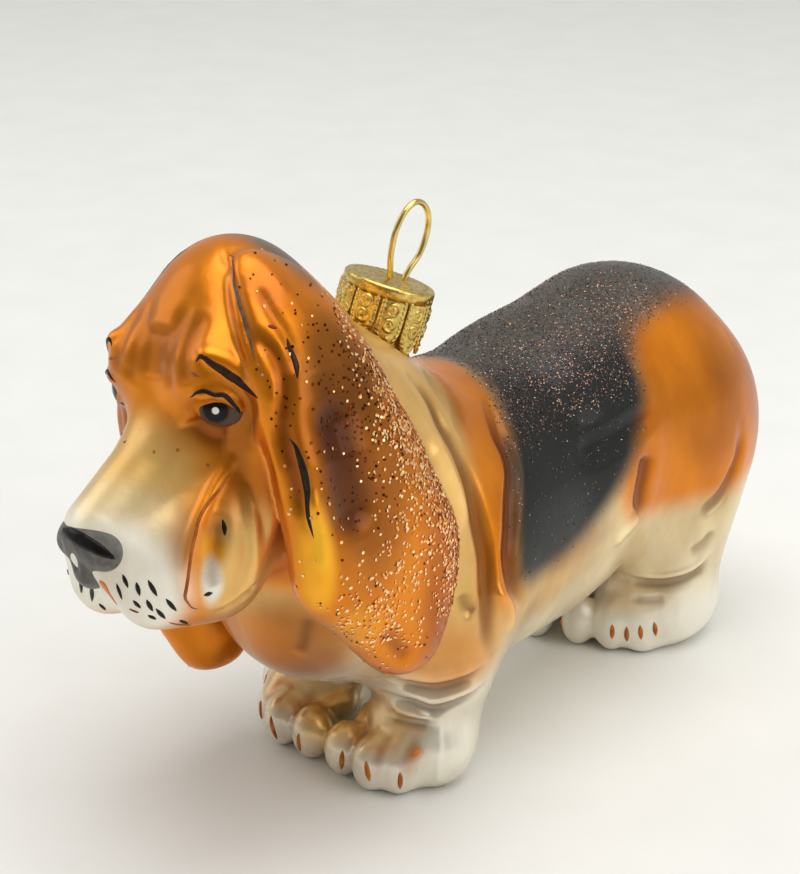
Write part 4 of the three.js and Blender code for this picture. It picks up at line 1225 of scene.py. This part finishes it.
def glitter(name, hues, shares, count, radius, tilt, seed):
    """Hexagonal flakes strewn on the skin; shares says how thickly at each of its points."""
    dice = random.Random(seed)
    totals = np.cumsum(shares)
    picks = np.searchsorted(totals, [dice.random() * totals[-1] for _ in range(count)])
    scatter = np.array([[dice.gauss(0, 1) for _ in range(3)] for _ in range(count)])
    strewn = skin_points[picks] + scatter * (0.5 * SKIN_CELL)
    at = in_parts(lambda part: onto(glass_form, part, 2, 0.3), strewn)
    normal = in_parts(lambda part: unit(slope(glass_form, part)[1]), at)
    lean = np.array([[dice.gauss(0, tilt) for _ in range(3)] for _ in range(count)])
    up = unit(normal + lean)
    first = unit(np.cross(up, scatter + (0.3, 0.2, 0.1)))
    second = np.cross(up, first)
    sizes = radius * np.array([dice.uniform(*FLAKE_SIZES) for _ in range(count)])[:, None]
    middle = at + normal * (FLAKE_LIFT + sizes * FLAKE_LIFT_SHARE)
    turns = [i * math.pi / 3 for i in range(6)]
    corners = [middle + sizes * (first * math.cos(turn) + second * math.sin(turn)) for turn in turns]
    points = np.stack(corners, 1).reshape(-1, 3)
    rows = 6 * np.arange(count)[:, None]
    quads = np.vstack([rows + (0, 1, 2, 3), rows + (0, 3, 4, 5)])
    piece = new_mesh(name, points, quads, smooth=False)
    colours = np.array([dice.choice(FLAKE_HUES[hues]) for _ in range(count)])
    set_values(piece, "paint", np.repeat(colours, 6, 0))
    finish_piece(piece, "copper_glitter", flake_paint)


flake_paint = painted_material("glitter_flakes", roughness=0.22, coat=0.0, metal=0.85)
shares = glitter_shares(skin_points)
glitter("glitter_ears", "copper", shares["ears"], count=3600, radius=0.2, tilt=0.15, seed=11)
glitter("specks_ears", "dark", shares["specks"], count=700, radius=0.17, tilt=0.08, seed=12)
glitter("glitter_back", "back", shares["back"], count=13000, radius=0.1, tilt=0.25, seed=13)

# Cap: a crown and ten stamped petals, with beads along their edges and a scroll in the middle
CAP_FRONT = (0.69, -0.72, 0.0)
PETAL = {
    "first": 9.0, "step": 36, "half_width": 1.74, "point": 2.4, "mean": 7.45, "spread": 1.1,
    "longest": 80.0, "tip": 0.02, "bulge": 0.18, "inset": 0.15,
}
PETAL_GRID = ((33, 84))
CROWN = {
    "middle": 0.05, "edge": 0.55, "skirt": 1.7, "sheet": 0.35, "sunk": 0.1,
    "beads": 36, "bead_ring": 1.15, "bead": 0.22, "bead_height": 0.14, "grain": 0.05, "grain_rim": 1.6,
}
STAMP = {
    "border": 0.34, "bead": 0.17, "bead_step": 0.62, "curls": ((0.36, 1), (0.62, -1)), "curl": 0.72,
    "unwinding": 0.09, "line": 0.17, "curl_eye": 0.3, "dot": (0.85, 0.22), "height": 0.2, "field": 0.4,
}


def round_mount(angle, away, height):
    """Points at an angle from the cap's front, a distance from the mount's axis and a height along it."""
    front = unit(np.array(CAP_FRONT) - MOUNT_AXIS * np.dot(CAP_FRONT, MOUNT_AXIS))
    right = np.cross(MOUNT_AXIS, front)
    angle, away, height = [np.asarray(value, float)[..., None] for value in (angle, away, height)]
    return MOUNT_TOP + MOUNT_AXIS * height + away * (front * np.cos(angle) + right * np.sin(angle))


def petal_stamp(across, down, half_width, length):
    """Height of the stamped ornament of one petal: beads along its edges, two curls and a dot."""
    edge = half_width - np.abs(across)
    beaded = 0.6 + 0.4 * np.cos(2 * math.pi * down / STAMP["bead_step"])
    beads = STAMP["bead"] * np.exp(-((edge - STAMP["border"]) / STAMP["bead"]) ** 2) * beaded
    dot_place, dot_radius = STAMP["dot"]
    scroll = np.exp(-(np.hypot(across, down - dot_place * length) / dot_radius) ** 2)
    for place, hand in STAMP["curls"]:
        along = down - place * length
        away = np.hypot(across, along)
        turn = np.arctan2(along, hand * across)
        curl = np.exp(-((away - STAMP["curl"] - STAMP["unwinding"] * turn) / STAMP["line"]) ** 2)
        scroll = np.maximum(scroll, curl * np.clip(1.3 - turn / 3, 0, 1))
        scroll = np.maximum(scroll, np.exp(-(away / STAMP["curl_eye"]) ** 2))
    return beads + STAMP["height"] * scroll * eased((edge - STAMP["field"]) / 0.3)


def petal(middle):
    """One petal: an outer and an inner face, joined round their edge."""
    length = PETAL["mean"] + PETAL["spread"] * math.cos(math.radians(middle - PETAL["longest"]))
    columns, rows = PETAL_GRID
    down = np.linspace(CROWN["edge"] + CROWN["sheet"], length - PETAL["tip"], rows)[:, None]
    narrow = np.clip((down - length + PETAL["point"]) / PETAL["point"], 0, 1)
    half_width = PETAL["half_width"] * np.sqrt(1 - narrow ** 1.7)
    place = np.linspace(-1, 1, columns)[None, :]
    across = place * half_width
    stamp = petal_stamp(across, down, half_width, length)
    bulge = PETAL["bulge"] * np.sin(math.pi * down / length)
    angle = math.radians(middle) + across / CAP["radius"]
    height = -down * np.ones_like(across)
    outer = round_mount(angle, CAP["radius"] - PETAL["inset"] + bulge + stamp, height)
    inner = round_mount(angle, CAP["radius"] - CAP["wall"] + bulge + 0 * across, height)
    return tube(np.concatenate([outer, inner[:, ::-1]], 1))


def crown():
    """The cap's grainy top plate with a rolled edge and a row of beads."""
    radius, edge, middle = CAP["radius"], CROWN["edge"], CROWN["middle"]
    profile = [(away, 0.0) for away in np.linspace(middle, radius - edge, 30)]
    for bend in np.linspace(0, math.pi / 2, 9)[1:]:
        profile.append((radius - edge + edge * math.sin(bend), edge * math.cos(bend) - edge))
    inner = radius - CROWN["sheet"]
    profile += [(radius, -CROWN["skirt"]), (inner, -CROWN["skirt"]), (inner, -edge), (middle, -edge)]
    angle = circle(192)[None, :]
    away, height = np.hsplit(np.array(profile), 2)
    top = height > -0.01
    beaded = 0.6 + 0.4 * np.cos(CROWN["beads"] * angle)
    beads = np.exp(-((away - radius + CROWN["bead_ring"]) / CROWN["bead"]) ** 2) * beaded * top
    grain = np.sin(7 * away + 3 * np.sin(5 * angle)) * top * (away < radius - CROWN["grain_rim"])
    height = height + CROWN["bead_height"] * beads + CROWN["grain"] * grain - CROWN["sunk"]
    return tube(round_mount(angle + 0 * away, away + 0 * angle, height))


brass = metal_material(
    "stamped_brass", (0.46, 0.31, 0.06), (0.78, 0.58, 0.18), 0.27, bump=(1500.0, 0.35, 0.00012),
)
cap_parts = [crown()] + [petal(PETAL["first"] + PETAL["step"] * i) for i in range(CAP["petals"])]
finish_piece(new_mesh("cap_metal", *joined(cap_parts)), "gold_metal", brass, "cap")

# Wire loop
def wire_loop():
    """Points and quads of the bent wire, which lies in a plane through the mount's axis."""
    flat = np.array(LOOP)
    lean = MOUNT_AXIS[0] / MOUNT_AXIS[2]
    line = open_curve(np.column_stack([MOUNT_TOP[0] + (flat[:, 1] - MOUNT_TOP[2]) * lean, flat]), 160)
    along = unit(np.gradient(line, axis=0))
    side = np.array([1.0, 0, -lean])
    side = unit(side - along * (along @ side)[:, None])
    out = np.cross(along, side)
    angle = circle(24)[None, :, None]
    rings = side[:, None] * np.cos(angle) + out[:, None] * np.sin(angle)
    return tube(line[:, None] + WIRE_RADIUS * rings)


gilt = metal_material("gilt_wire", (0.60, 0.44, 0.12), (0.82, 0.64, 0.24), 0.2, bump=(700.0, 0.1, 0.0001))
finish_piece(new_mesh("loop_wire", *wire_loop()), "gold_metal", gilt, "hanger_loop")

# Stage and light
FLOOR_HALF = 4000  # mm
floor_points = [(x * FLOOR_HALF, y * FLOOR_HALF, 0) for x, y in ((-1, -1), (1, -1), (1, 1), (-1, 1))]
floor = new_mesh("floor", floor_points, [(0, 1, 2, 3)])
floor.data.materials.append(shaded_material(
    "paper", (0.82, 0.825, 0.80), (0.85, 0.855, 0.83), 0.3, 0.7, (60.0, 0.05, 0.0005), {"Roughness": 0.7},
))

# A pale room, darker behind the camera
BEHIND_CAMERA = (0.62, -0.76, 0.18)
world = bpy.data.worlds.new("studio")
world.use_nodes = True
world_tree = world.node_tree
sky = world_tree.nodes["Background"]
direction = world_tree.nodes.new("ShaderNodeTexCoord")
facing = world_tree.nodes.new("ShaderNodeVectorMath")
facing.operation = "DOT_PRODUCT"
facing.inputs[1].default_value = BEHIND_CAMERA
world_tree.links.new(direction.outputs["Generated"], facing.inputs[0])
room = shade_between(world_tree, facing.outputs["Value"], 0.1, 0.9, (0.74, 0.73, 0.70), (0.30, 0.29, 0.26))
world_tree.links.new(room, sky.inputs["Color"])
sky.inputs["Strength"].default_value = 0.8
bpy.context.scene.world = world

LAMP_AIM = Vector((0, 0, 0.04))


def add_light(name, at, size, power):
    """A round softbox, in metres and watts."""
    light = bpy.data.lights.new(name, "AREA")
    light.shape = "DISK"
    light.size = size
    light.energy = power
    lamp = bpy.data.objects.new(name, light)
    turn = (LAMP_AIM - Vector(at)).to_track_quat("-Z", "Y").to_matrix().to_4x4()
    lamp.matrix_world = Matrix.Translation(at) @ turn
    bpy.context.scene.collection.objects.link(lamp)


add_light("top_softbox", (0.1, 0.0, 0.8), size=0.9, power=4.6)
add_light("left_softbox", (-0.55, -0.3, 0.4), size=0.5, power=0.6)
add_light("right_softbox", (0.6, 0.1, 0.35), size=0.5, power=1.0)
bpy.context.scene.view_settings.view_transform = "Standard"
